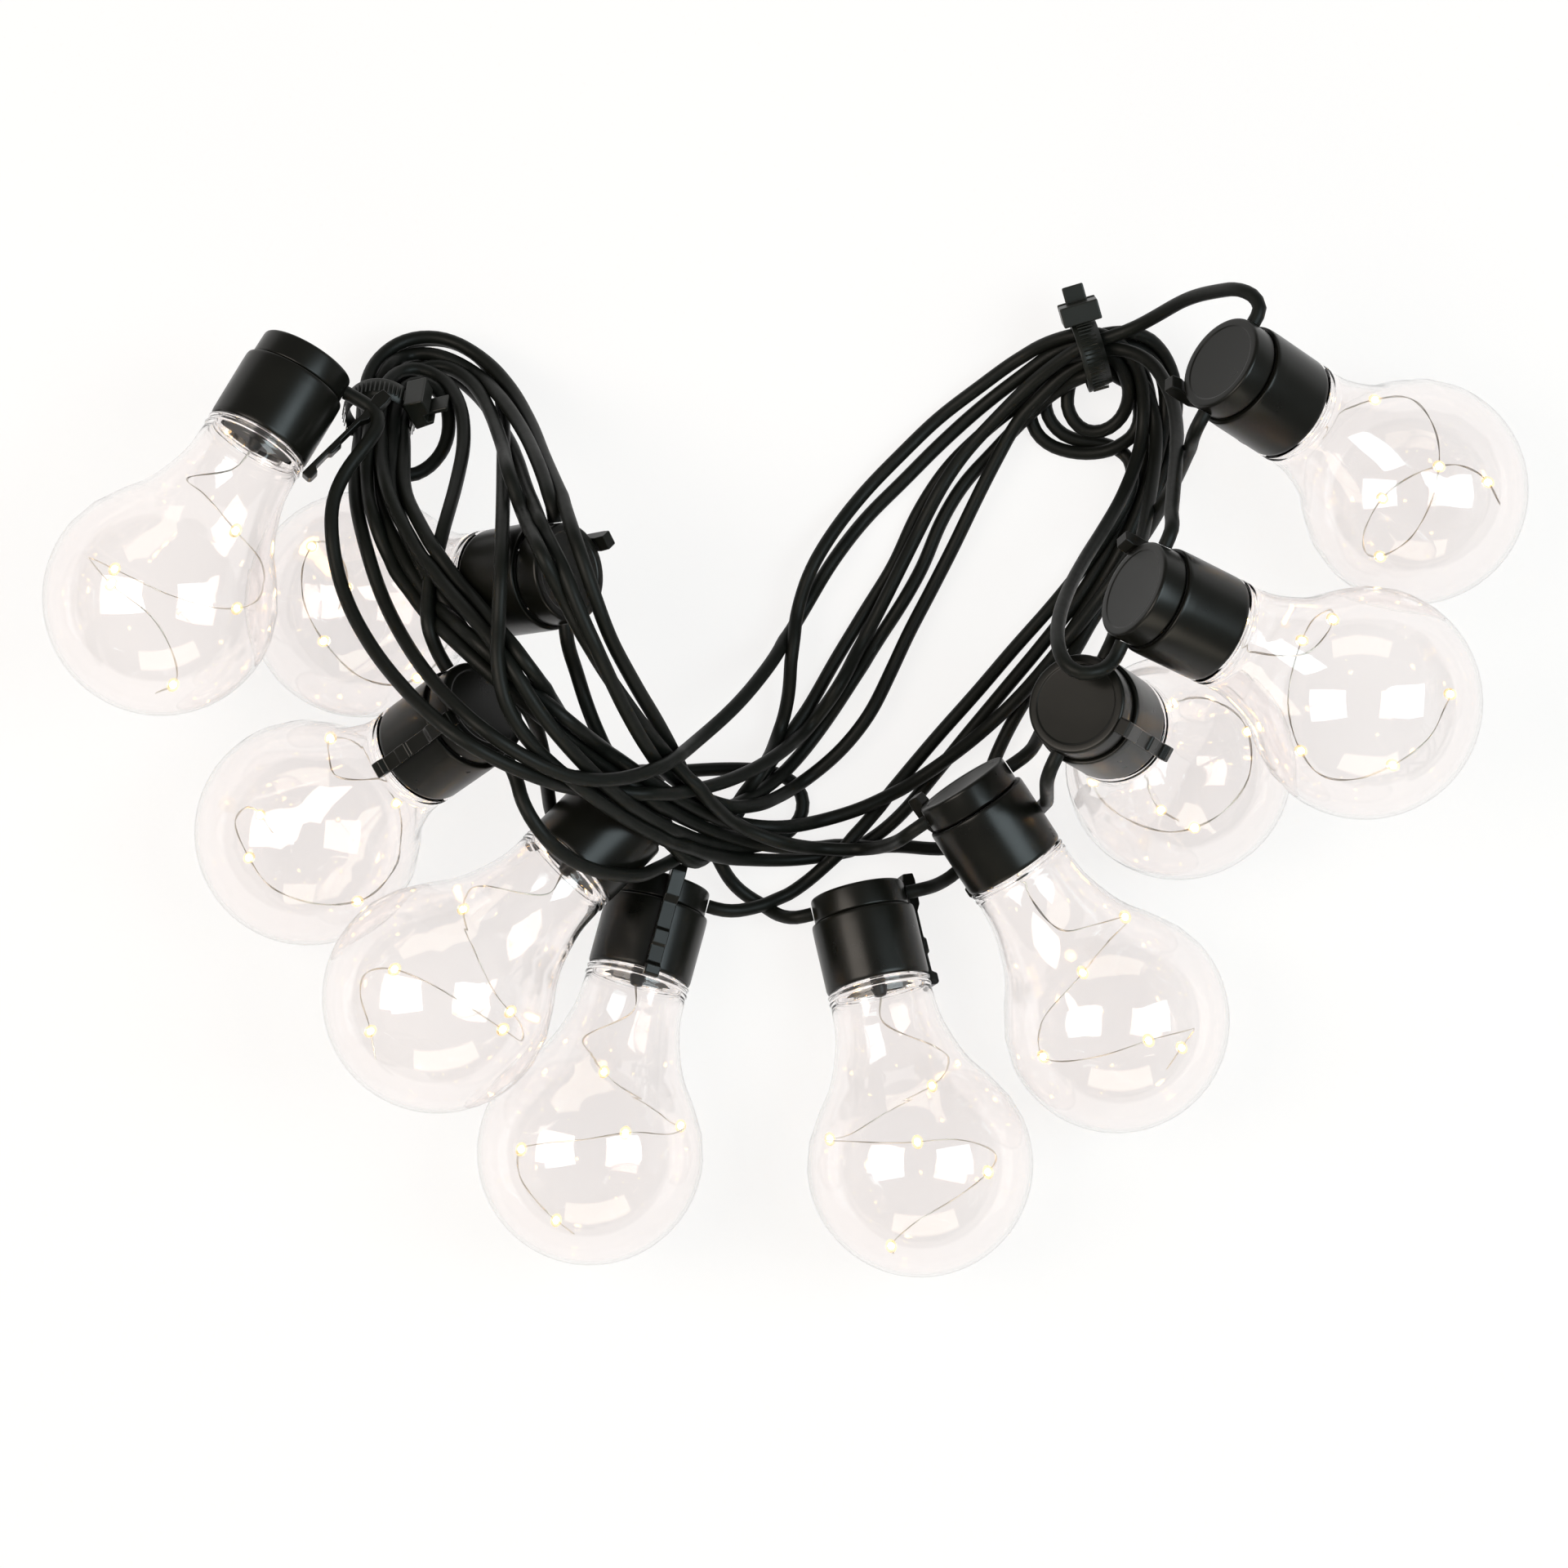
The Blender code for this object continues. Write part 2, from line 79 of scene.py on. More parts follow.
# The one cord, from cap to cap. Each stretch was traced by eye. A helper turned the traced points into
# metres and filled in the heights that weren't set, from about seventy heights set by hand.
CORDS = {
    "cord_1_10": [
        (-0.1177, 0.1013, 0.0486), (-0.1155, 0.1001, 0.0486), (-0.1133, 0.0989, 0.0486),
        (-0.1087, 0.0943, 0.0520), (-0.1109, 0.0880, 0.0570), (-0.1159, 0.0810, 0.0600),
        (-0.1194, 0.0723, 0.0640), (-0.1194, 0.0630, 0.0680), (-0.1177, 0.0535, 0.0700),
        (-0.1141, 0.0440, 0.0740), (-0.1083, 0.0344, 0.0800), (-0.1014, 0.0260, 0.0880),
        (-0.0933, 0.0180, 0.0960), (-0.0840, 0.0106, 0.1010), (-0.0741, 0.0048, 0.0980),
        (-0.0638, 0.0003, 0.0900), (-0.0530, -0.0028, 0.0715), (-0.0390, -0.0036, 0.0645),
        (-0.0268, -0.0022, 0.0467), (-0.0163, 0.0012, 0.0344), (-0.0067, 0.0067, 0.0228),
        (0.0021, 0.0147, 0.0105), (0.0098, 0.0245, 0.0152), (0.0171, 0.0372, 0.0094),
        (0.0230, 0.0482, 0.0109), (0.0279, 0.0577, 0.0105), (0.0336, 0.0688, 0.0092),
        (0.0391, 0.0790, 0.0106), (0.0457, 0.0885, 0.0100), (0.0549, 0.0983, 0.0118),
        (0.0650, 0.1078, 0.0159), (0.0746, 0.1144, 0.0225), (0.0818, 0.1176, 0.0250),
        (0.0894, 0.1201, 0.0280), (0.0958, 0.1231, 0.0340), (0.1024, 0.1262, 0.0440),
        (0.1090, 0.1269, 0.0560), (0.1147, 0.1257, 0.0660), (0.1189, 0.1214, 0.0693),
        (0.1177, 0.1192, 0.0693), (0.1165, 0.1170, 0.0693),
    ],
    "cord_10_2": [
        (0.1041, 0.0941, 0.0693), (0.1029, 0.0919, 0.0693), (0.1017, 0.0897, 0.0693),
        (0.1014, 0.0867, 0.0600), (0.0996, 0.0806, 0.0480), (0.0973, 0.0743, 0.0340),
        (0.0938, 0.0669, 0.0220), (0.0888, 0.0586, 0.0140), (0.0830, 0.0500, 0.0100),
        (0.0764, 0.0412, 0.0090), (0.0691, 0.0320, 0.0073), (0.0606, 0.0225, 0.0080),
        (0.0512, 0.0137, 0.0073), (0.0407, 0.0055, 0.0083), (0.0297, -0.0018, 0.0081),
        (0.0186, -0.0073, 0.0112), (0.0065, -0.0110, 0.0131), (-0.0056, -0.0125, 0.0238),
        (-0.0164, -0.0111, 0.0295), (-0.0269, -0.0067, 0.0436), (-0.0370, -0.0003, 0.0616),
        (-0.0472, 0.0070, 0.0695), (-0.0566, 0.0149, 0.0894), (-0.0668, 0.0239, 0.0901),
        (-0.0769, 0.0340, 0.0927), (-0.0871, 0.0449, 0.0767), (-0.0953, 0.0557, 0.0689),
        (-0.1021, 0.0665, 0.0627), (-0.1072, 0.0779, 0.0505), (-0.1092, 0.0881, 0.0428),
        (-0.1098, 0.0964, 0.0334), (-0.1104, 0.1044, 0.0287), (-0.1074, 0.1108, 0.0253),
        (-0.1024, 0.1150, 0.0166), (-0.0941, 0.1143, 0.0191), (-0.0861, 0.1104, 0.0184),
        (-0.0778, 0.1020, 0.0335), (-0.0711, 0.0919, 0.0480), (-0.0663, 0.0821, 0.0640),
        (-0.0633, 0.0742, 0.0730), (-0.0622, 0.0706, 0.0763), (-0.0619, 0.0681, 0.0763),
        (-0.0616, 0.0657, 0.0763),
    ],
    "cord_2_9": [
        (-0.0589, 0.0397, 0.0763), (-0.0586, 0.0372, 0.0763), (-0.0584, 0.0347, 0.0763),
        (-0.0570, 0.0305, 0.0740), (-0.0541, 0.0211, 0.0740), (-0.0507, 0.0118, 0.0700),
        (-0.0461, 0.0029, 0.0600), (-0.0383, -0.0045, 0.0553), (-0.0288, -0.0093, 0.0369),
        (-0.0181, -0.0085, 0.0300), (-0.0084, -0.0033, 0.0185), (0.0001, 0.0050, 0.0085),
        (0.0077, 0.0152, 0.0056), (0.0147, 0.0262, 0.0084), (0.0223, 0.0387, 0.0042),
        (0.0289, 0.0491, 0.0061), (0.0345, 0.0595, 0.0042), (0.0391, 0.0709, 0.0039),
        (0.0453, 0.0817, 0.0044), (0.0535, 0.0912, 0.0043), (0.0620, 0.1005, 0.0070),
        (0.0700, 0.1077, 0.0099), (0.0785, 0.1116, 0.0170), (0.0871, 0.1109, 0.0130),
        (0.0925, 0.1047, 0.0090), (0.0923, 0.0961, 0.0070), (0.0851, 0.0911, 0.0060),
        (0.0758, 0.0903, 0.0050), (0.0672, 0.0938, 0.0050), (0.0642, 0.1016, 0.0070),
        (0.0681, 0.1097, 0.0120), (0.0757, 0.1146, 0.0200), (0.0852, 0.1162, 0.0260),
        (0.0938, 0.1125, 0.0320), (0.0987, 0.1035, 0.0400), (0.0995, 0.0926, 0.0520),
        (0.0975, 0.0818, 0.0680), (0.0950, 0.0724, 0.0840), (0.0933, 0.0655, 0.0950),
        (0.0932, 0.0629, 0.0996), (0.0922, 0.0607, 0.0996), (0.0912, 0.0584, 0.0996),
    ],
    "cord_9_3": [
        (0.0806, 0.0345, 0.0996), (0.0796, 0.0323, 0.0996), (0.0786, 0.0300, 0.0996),
        (0.0753, 0.0278, 0.1040), (0.0708, 0.0263, 0.1050), (0.0668, 0.0286, 0.1040),
        (0.0650, 0.0338, 0.0990), (0.0659, 0.0403, 0.0880), (0.0699, 0.0490, 0.0680),
        (0.0758, 0.0581, 0.0480), (0.0824, 0.0673, 0.0320), (0.0882, 0.0765, 0.0220),
        (0.0925, 0.0865, 0.0170), (0.0947, 0.0969, 0.0150), (0.0935, 0.1069, 0.0180),
        (0.0884, 0.1146, 0.0240), (0.0813, 0.1183, 0.0260), (0.0725, 0.1177, 0.0220),
        (0.0614, 0.1133, 0.0140), (0.0501, 0.1058, 0.0115), (0.0389, 0.0977, 0.0090),
        (0.0288, 0.0883, 0.0101), (0.0184, 0.0778, 0.0099), (0.0093, 0.0662, 0.0145),
        (0.0032, 0.0558, 0.0167), (-0.0003, 0.0453, 0.0159), (-0.0019, 0.0343, 0.0191),
        (-0.0023, 0.0234, 0.0160), (-0.0045, 0.0125, 0.0130), (-0.0095, 0.0019, 0.0246),
        (-0.0171, -0.0079, 0.0220), (-0.0272, -0.0163, 0.0320), (-0.0376, -0.0212, 0.0440),
        (-0.0483, -0.0226, 0.0580), (-0.0580, -0.0195, 0.0700), (-0.0655, -0.0127, 0.0780),
        (-0.0705, -0.0038, 0.0780), (-0.0719, 0.0023, 0.0744), (-0.0733, 0.0044, 0.0744),
        (-0.0746, 0.0065, 0.0744),
    ],
    "cord_3_8": [
        (-0.0889, 0.0284, 0.0744), (-0.0902, 0.0305, 0.0744), (-0.0916, 0.0326, 0.0744),
        (-0.0919, 0.0366, 0.0760), (-0.0932, 0.0450, 0.0740), (-0.0921, 0.0555, 0.0720),
        (-0.0899, 0.0663, 0.0660), (-0.0879, 0.0776, 0.0540), (-0.0869, 0.0892, 0.0420),
        (-0.0889, 0.0998, 0.0320), (-0.0946, 0.1068, 0.0240), (-0.1017, 0.1092, 0.0220),
        (-0.1064, 0.1061, 0.0270), (-0.1088, 0.0989, 0.0340), (-0.1094, 0.0892, 0.0420),
        (-0.1086, 0.0780, 0.0494), (-0.1048, 0.0677, 0.0607), (-0.0995, 0.0570, 0.0639),
        (-0.0907, 0.0454, 0.0741), (-0.0796, 0.0345, 0.0887), (-0.0689, 0.0249, 0.0901),
        (-0.0584, 0.0157, 0.0876), (-0.0489, 0.0066, 0.0685), (-0.0381, -0.0020, 0.0609),
        (-0.0270, -0.0099, 0.0394), (-0.0143, -0.0157, 0.0216), (-0.0001, -0.0178, 0.0147),
        (0.0143, -0.0175, 0.0083), (0.0276, -0.0175, 0.0060), (0.0386, -0.0184, 0.0055),
        (0.0486, -0.0168, 0.0060), (0.0561, -0.0137, 0.0100), (0.0611, -0.0103, 0.0180),
        (0.0632, -0.0076, 0.0310), (0.0636, -0.0058, 0.0460), (0.0632, -0.0043, 0.0620),
        (0.0627, -0.0026, 0.0770), (0.0624, -0.0005, 0.0880), (0.0628, 0.0024, 0.0937),
        (0.0639, 0.0047, 0.0937), (0.0650, 0.0069, 0.0937),
    ],
    "cord_8_4": [
        (0.0764, 0.0304, 0.0937), (0.0775, 0.0326, 0.0937), (0.0786, 0.0349, 0.0937),
        (0.0814, 0.0405, 0.0840), (0.0846, 0.0483, 0.0700), (0.0881, 0.0575, 0.0540),
        (0.0916, 0.0681, 0.0380), (0.0943, 0.0797, 0.0260), (0.0959, 0.0912, 0.0180),
        (0.0948, 0.1023, 0.0160), (0.0907, 0.1102, 0.0180), (0.0819, 0.1135, 0.0180),
        (0.0728, 0.1113, 0.0140), (0.0622, 0.1041, 0.0106), (0.0515, 0.0958, 0.0055),
        (0.0413, 0.0856, 0.0053), (0.0334, 0.0735, 0.0043), (0.0267, 0.0590, 0.0053),
        (0.0192, 0.0467, 0.0048), (0.0112, 0.0334, 0.0060), (0.0037, 0.0203, 0.0079),
        (-0.0041, 0.0090, 0.0117), (-0.0111, -0.0011, 0.0140), (-0.0166, -0.0103, 0.0160),
        (-0.0215, -0.0173, 0.0220), (-0.0265, -0.0208, 0.0320), (-0.0308, -0.0188, 0.0386),
        (-0.0326, -0.0170, 0.0386), (-0.0344, -0.0153, 0.0386),
    ],
    "cord_4_7": [
        (-0.0530, 0.0031, 0.0386), (-0.0548, 0.0048, 0.0386), (-0.0565, 0.0066, 0.0386),
        (-0.0583, 0.0109, 0.0560), (-0.0622, 0.0183, 0.0780), (-0.0681, 0.0274, 0.0960),
        (-0.0762, 0.0372, 0.0900), (-0.0844, 0.0468, 0.0800), (-0.0916, 0.0553, 0.0750),
        (-0.0981, 0.0652, 0.0670), (-0.1037, 0.0754, 0.0550), (-0.1058, 0.0869, 0.0440),
        (-0.1065, 0.0963, 0.0340), (-0.1066, 0.1043, 0.0270), (-0.1043, 0.1094, 0.0220),
        (-0.0984, 0.1116, 0.0200), (-0.0917, 0.1094, 0.0220), (-0.0851, 0.1034, 0.0280),
        (-0.0799, 0.0949, 0.0380), (-0.0755, 0.0856, 0.0520), (-0.0709, 0.0747, 0.0746),
        (-0.0669, 0.0645, 0.0781), (-0.0611, 0.0529, 0.1011), (-0.0568, 0.0436, 0.0972),
        (-0.0518, 0.0339, 0.0963), (-0.0465, 0.0243, 0.0868), (-0.0400, 0.0143, 0.0736),
        (-0.0330, 0.0048, 0.0567), (-0.0247, -0.0043, 0.0471), (-0.0153, -0.0115, 0.0298),
        (-0.0045, -0.0157, 0.0235), (0.0065, -0.0176, 0.0124), (0.0175, -0.0179, 0.0120),
        (0.0253, -0.0164, 0.0240), (0.0300, -0.0134, 0.0375), (0.0321, -0.0120, 0.0375),
        (0.0341, -0.0106, 0.0375),
    ],
    "cord_7_5": [
        (0.0559, 0.0038, 0.0375), (0.0580, 0.0052, 0.0375), (0.0601, 0.0066, 0.0375),
        (0.0637, 0.0119, 0.0300), (0.0668, 0.0194, 0.0220), (0.0699, 0.0283, 0.0140),
        (0.0747, 0.0379, 0.0090), (0.0805, 0.0479, 0.0080), (0.0863, 0.0572, 0.0075),
        (0.0914, 0.0672, 0.0090), (0.0958, 0.0776, 0.0092), (0.0989, 0.0895, 0.0119),
        (0.1006, 0.1015, 0.0129), (0.0983, 0.1111, 0.0160), (0.0914, 0.1170, 0.0220),
        (0.0821, 0.1175, 0.0240), (0.0738, 0.1139, 0.0180), (0.0680, 0.1073, 0.0100),
        (0.0669, 0.0983, 0.0070), (0.0727, 0.0915, 0.0060), (0.0817, 0.0897, 0.0060),
        (0.0890, 0.0872, 0.0070), (0.0910, 0.0809, 0.0090), (0.0888, 0.0732, 0.0090),
        (0.0838, 0.0651, 0.0085), (0.0772, 0.0561, 0.0071), (0.0688, 0.0461, 0.0073),
        (0.0594, 0.0358, 0.0061), (0.0490, 0.0240, 0.0070), (0.0386, 0.0126, 0.0066),
        (0.0286, 0.0011, 0.0074), (0.0197, -0.0095, 0.0099), (0.0114, -0.0183, 0.0093),
        (0.0037, -0.0259, 0.0060), (-0.0045, -0.0316, 0.0070), (-0.0133, -0.0344, 0.0110),
        (-0.0191, -0.0349, 0.0138), (-0.0215, -0.0343, 0.0138), (-0.0239, -0.0336, 0.0138),
    ],
    "cord_5_6": [
        (-0.0491, -0.0269, 0.0138), (-0.0515, -0.0262, 0.0138), (-0.0540, -0.0256, 0.0138),
        (-0.0578, -0.0231, 0.0160), (-0.0623, -0.0170, 0.0220), (-0.0644, -0.0093, 0.0340),
        (-0.0650, -0.0007, 0.0500), (-0.0652, 0.0077, 0.0660), (-0.0673, 0.0166, 0.0820),
        (-0.0730, 0.0247, 0.0900), (-0.0804, 0.0326, 0.0860), (-0.0878, 0.0424, 0.0780),
        (-0.0945, 0.0530, 0.0730), (-0.1003, 0.0642, 0.0660), (-0.1048, 0.0755, 0.0540),
        (-0.1056, 0.0869, 0.0440), (-0.1051, 0.0966, 0.0360), (-0.1035, 0.1031, 0.0310),
        (-0.1002, 0.1054, 0.0290), (-0.0943, 0.1032, 0.0300), (-0.0912, 0.0963, 0.0340),
        (-0.0917, 0.0882, 0.0380), (-0.0961, 0.0819, 0.0420), (-0.1022, 0.0798, 0.0450),
        (-0.1069, 0.0833, 0.0460), (-0.1103, 0.0898, 0.0420), (-0.1123, 0.0975, 0.0330),
        (-0.1132, 0.1062, 0.0260), (-0.1099, 0.1137, 0.0200), (-0.1030, 0.1180, 0.0170),
        (-0.0943, 0.1180, 0.0170), (-0.0853, 0.1133, 0.0200), (-0.0771, 0.1047, 0.0280),
        (-0.0708, 0.0939, 0.0420), (-0.0663, 0.0831, 0.0600), (-0.0611, 0.0711, 0.0820),
        (-0.0562, 0.0592, 0.0980), (-0.0523, 0.0484, 0.0990), (-0.0478, 0.0364, 0.0940),
        (-0.0416, 0.0245, 0.0800), (-0.0357, 0.0144, 0.0640), (-0.0306, 0.0044, 0.0480),
        (-0.0263, -0.0063, 0.0320), (-0.0218, -0.0182, 0.0180), (-0.0155, -0.0289, 0.0090),
        (-0.0067, -0.0345, 0.0080), (-0.0007, -0.0369, 0.0138), (0.0018, -0.0363, 0.0138),
        (0.0042, -0.0357, 0.0138),
    ],
    "cord_6_end": [
        (0.0296, -0.0299, 0.0138), (0.0321, -0.0293, 0.0138), (0.0345, -0.0288, 0.0138),
        (0.0385, -0.0276, 0.0090), (0.0448, -0.0233, 0.0060), (0.0484, -0.0162, 0.0055),
        (0.0501, -0.0073, 0.0055), (0.0528, 0.0026, 0.0055), (0.0574, 0.0132, 0.0055),
        (0.0638, 0.0241, 0.0057), (0.0709, 0.0343, 0.0054), (0.0777, 0.0444, 0.0063),
        (0.0839, 0.0541, 0.0061), (0.0898, 0.0646, 0.0079), (0.0946, 0.0761, 0.0081),
        (0.0979, 0.0880, 0.0107), (0.0994, 0.1001, 0.0110), (0.0958, 0.1095, 0.0146),
        (0.0881, 0.1136, 0.0170), (0.0791, 0.1125, 0.0150), (0.0731, 0.1068, 0.0100),
        (0.0721, 0.0986, 0.0080), (0.0774, 0.0925, 0.0080), (0.0852, 0.0945, 0.0100),
        (0.0890, 0.1016, 0.0140), (0.0868, 0.1096, 0.0200), (0.0794, 0.1153, 0.0220),
        (0.0714, 0.1144, 0.0178), (0.0608, 0.1079, 0.0128), (0.0500, 0.1001, 0.0085),
        (0.0392, 0.0907, 0.0074), (0.0297, 0.0814, 0.0076), (0.0191, 0.0709, 0.0074),
        (0.0098, 0.0587, 0.0123), (0.0019, 0.0455, 0.0121), (-0.0058, 0.0331, 0.0233),
        (-0.0159, 0.0213, 0.0342), (-0.0265, 0.0121, 0.0440), (-0.0365, 0.0052, 0.0640),
        (-0.0469, 0.0018, 0.0760), (-0.0578, 0.0022, 0.0860), (-0.0686, 0.0066, 0.0940),
        (-0.0795, 0.0139, 0.0980), (-0.0904, 0.0239, 0.0900), (-0.0996, 0.0355, 0.0780),
        (-0.1066, 0.0483, 0.0700), (-0.1110, 0.0611, 0.0660), (-0.1145, 0.0743, 0.0560),
        (-0.1152, 0.0869, 0.0440), (-0.1150, 0.0969, 0.0330), (-0.1147, 0.1069, 0.0250),
        (-0.1104, 0.1157, 0.0180), (-0.1026, 0.1197, 0.0150), (-0.0933, 0.1193, 0.0150),
        (-0.0848, 0.1139, 0.0180), (-0.0799, 0.1049, 0.0260), (-0.0776, 0.0937, 0.0400),
        (-0.0762, 0.0803, 0.0600), (-0.0748, 0.0652, 0.0840), (-0.0744, 0.0522, 0.0960),
        (-0.0749, 0.0399, 0.0970), (-0.0750, 0.0293, 0.0990), (-0.0732, 0.0192, 0.0990),
        (-0.0674, 0.0091, 0.0940), (-0.0570, -0.0007, 0.0820), (-0.0454, -0.0091, 0.0620),
        (-0.0313, -0.0157, 0.0380), (-0.0155, -0.0195, 0.0160), (0.0010, -0.0201, 0.0070),
        (0.0154, -0.0175, 0.0060), (0.0265, -0.0095, 0.0055), (0.0364, 0.0015, 0.0055),
        (0.0466, 0.0135, 0.0055), (0.0568, 0.0254, 0.0055), (0.0670, 0.0374, 0.0055),
        (0.0767, 0.0497, 0.0060), (0.0846, 0.0621, 0.0060), (0.0904, 0.0745, 0.0060),
        (0.0943, 0.0867, 0.0060), (0.0960, 0.0983, 0.0070), (0.0938, 0.1082, 0.0120),
        (0.0867, 0.1139, 0.0180), (0.0776, 0.1123, 0.0170), (0.0692, 0.1071, 0.0120),
        (0.0606, 0.0982, 0.0080), (0.0544, 0.0876, 0.0080), (0.0485, 0.0761, 0.0080),
        (0.0425, 0.0638, 0.0080), (0.0363, 0.0518, 0.0080), (0.0301, 0.0401, 0.0095),
        (0.0248, 0.0290, 0.0104), (0.0190, 0.0180, 0.0123), (0.0109, 0.0081, 0.0109),
        (0.0006, -0.0003, 0.0099), (-0.0099, -0.0059, 0.0231), (-0.0206, -0.0071, 0.0382),
        (-0.0301, -0.0018, 0.0441), (-0.0378, 0.0072, 0.0700), (-0.0436, 0.0174, 0.0820),
        (-0.0486, 0.0278, 0.0940), (-0.0538, 0.0389, 0.0980), (-0.0582, 0.0497, 0.0980),
        (-0.0639, 0.0604, 0.0880), (-0.0690, 0.0717, 0.0720), (-0.0738, 0.0841, 0.0520),
        (-0.0799, 0.0959, 0.0340), (-0.0873, 0.1050, 0.0220), (-0.0953, 0.1104, 0.0180),
        (-0.1028, 0.1107, 0.0200), (-0.1072, 0.1056, 0.0270), (-0.1091, 0.0968, 0.0340),
        (-0.1085, 0.0846, 0.0460), (-0.1049, 0.0726, 0.0600), (-0.0983, 0.0608, 0.0700),
        (-0.0902, 0.0499, 0.0800), (-0.0800, 0.0385, 0.0920), (-0.0720, 0.0281, 0.0980),
        (-0.0661, 0.0180, 0.0960), (-0.0583, 0.0075, 0.0880), (-0.0489, -0.0028, 0.0700),
        (-0.0375, -0.0114, 0.0460), (-0.0256, -0.0163, 0.0260), (-0.0139, -0.0170, 0.0130),
        (-0.0045, -0.0135, 0.0070), (0.0001, -0.0069, 0.0050), (-0.0021, -0.0003, 0.0042),
        (-0.0087, 0.0028, 0.0038), (-0.0178, 0.0035, 0.0037), (-0.0278, 0.0031, 0.0036),
        (-0.0378, 0.0022, 0.0036), (-0.0444, 0.0015, 0.0036),
    ],
}


# ---------------------------------------------------------------- helpers


def lamp_frame(lamp):
    globe, heading, rise = LAMPS[lamp][:3]
    plan, tilt = math.radians(heading), math.radians(rise)
    axis = Vector((math.cos(plan) * math.cos(tilt), math.sin(plan) * math.cos(tilt), math.sin(tilt)))
    along_cord = Vector((-math.sin(plan), math.cos(plan), 0.0))
    upper = axis.cross(along_cord)
    place = Matrix((along_cord, upper, axis)).transposed().to_4x4()
    place.translation = Vector(globe) - axis * GLOBE_Z
    return place


FRAMES = {lamp: lamp_frame(lamp) for lamp in LAMPS}


def body_of(lamp):
    return lamp if lamp in SWINGING else "bundle"


def clip_body(lamp):
    return f"{lamp}_clip" if lamp not in CLIPS_FIXED else body_of(lamp)


def mesh_object(name, points, faces, look, place=None, smooth=True):
    mesh = bpy.data.meshes.new(name)
    mesh.from_pydata([tuple(p) for p in points], [], faces)
    mesh.validate()
    if smooth:
        mesh.shade_smooth()
    if place is not None:
        mesh.transform(place)
    obj = bpy.data.objects.new(name, mesh)
    bpy.context.scene.collection.objects.link(obj)
    mesh.materials.append(look)
    return obj


def revolve(profile, steps):
    """Points and faces of a closed turned shape. The profile runs down its outer side, then up inside."""
    points, faces, rings = [], [], []
    for radius, height in profile:
        if radius < ON_AXIS:
            rings.append([len(points)])
            points.append((0.0, 0.0, height))
            continue
        rings.append(list(range(len(points), len(points) + steps)))
        for i in range(steps):
            turn = math.tau * i / steps
            points.append((radius * math.cos(turn), radius * math.sin(turn), height))
    pairs = list(zip(rings, rings[1:]))
    if len(rings[0]) > 1:
        pairs.append((rings[-1], rings[0]))
    for upper, lower in pairs:
        if len(upper) == 1 and len(lower) == 1:
            continue
        for i in range(steps):
            j = (i + 1) % steps
            if len(upper) == 1:
                faces.append((upper[0], lower[i], lower[j]))
            elif len(lower) == 1:
                faces.append((upper[j], upper[i], lower[0]))
            else:
                faces.append((upper[i], lower[i], lower[j], upper[j]))
    return points, faces


def prism(name, outline, half, look, place, edge=0.0004):
    """A flat outline made 2 x half thick, with softened edges."""
    count = len(outline)
    points = [(x, y, -half) for x, y in outline] + [(x, y, half) for x, y in outline]
    faces = [tuple(range(count))[::-1], tuple(range(count, 2 * count))]
    faces += [(i, (i + 1) % count, count + (i + 1) % count, count + i) for i in range(count)]
    obj = mesh_object(name, points, faces, look, place, smooth=False)
    edges = obj.modifiers.new("edges", "BEVEL")
    edges.width = edge
    edges.segments = 3
    edges.limit_method = "ANGLE"
    return obj


def rounded(profile, radius, steps=4):
    """The open profile with each inner corner rounded off."""
    made = [profile[0]]
    for before, corner, after in zip(profile, profile[1:], profile[2:]):
        a, b, c = Vector(before), Vector(corner), Vector(after)
        cut = min(radius, (a - b).length * 0.45, (c - b).length * 0.45)
        start, end = b + (a - b).normalized() * cut, b + (c - b).normalized() * cut
        for i in range(steps + 1):
            t = i / steps
            made.append(tuple(start.lerp(b, t).lerp(b.lerp(end, t), t)))
    return [*made, profile[-1]]


def material(name, color, roughness, **values):
    made = bpy.data.materials.new(name)
    made.use_nodes = True
    shader = made.node_tree.nodes["Principled BSDF"]
    shader.inputs["Base Color"].default_value = (*color, 1.0)
    shader.inputs["Roughness"].default_value = roughness
    for key, value in values.items():
        shader.inputs[key.replace("_", " ")].default_value = value
    return made


BUMP_HEIGHT = 0.0002


def add_noise(made, scale, low, high, bump=0.0, tint=None):
    """Roughness that varies between two values, with a little bump and a second colour if asked."""
    tree = made.node_tree
    shader = tree.nodes["Principled BSDF"]
    place = tree.nodes.new("ShaderNodeTexCoord")
    noise = tree.nodes.new("ShaderNodeTexNoise")
    noise.inputs["Scale"].default_value = scale
    noise.inputs["Detail"].default_value = 4.0
    tree.links.new(place.outputs["Object"], noise.inputs["Vector"])
    spread = tree.nodes.new("ShaderNodeMapRange")
    spread.inputs["To Min"].default_value = low
    spread.inputs["To Max"].default_value = high
    tree.links.new(noise.outputs["Fac"], spread.inputs["Value"])
    tree.links.new(spread.outputs["Result"], shader.inputs["Roughness"])
    if bump:
        rough = tree.nodes.new("ShaderNodeBump")
        rough.inputs["Strength"].default_value = bump
        rough.inputs["Distance"].default_value = BUMP_HEIGHT
        tree.links.new(noise.outputs["Fac"], rough.inputs["Height"])
        tree.links.new(rough.outputs["Normal"], shader.inputs["Normal"])
    if tint:
        mix = tree.nodes.new("ShaderNodeMix")
        mix.data_type = "RGBA"
        mix.inputs["A"].default_value = shader.inputs["Base Color"].default_value
        mix.inputs["B"].default_value = (*tint, 1.0)
        tree.links.new(noise.outputs["Fac"], mix.inputs["Factor"])
        tree.links.new(mix.outputs["Result"], shader.inputs["Base Color"])
    return made


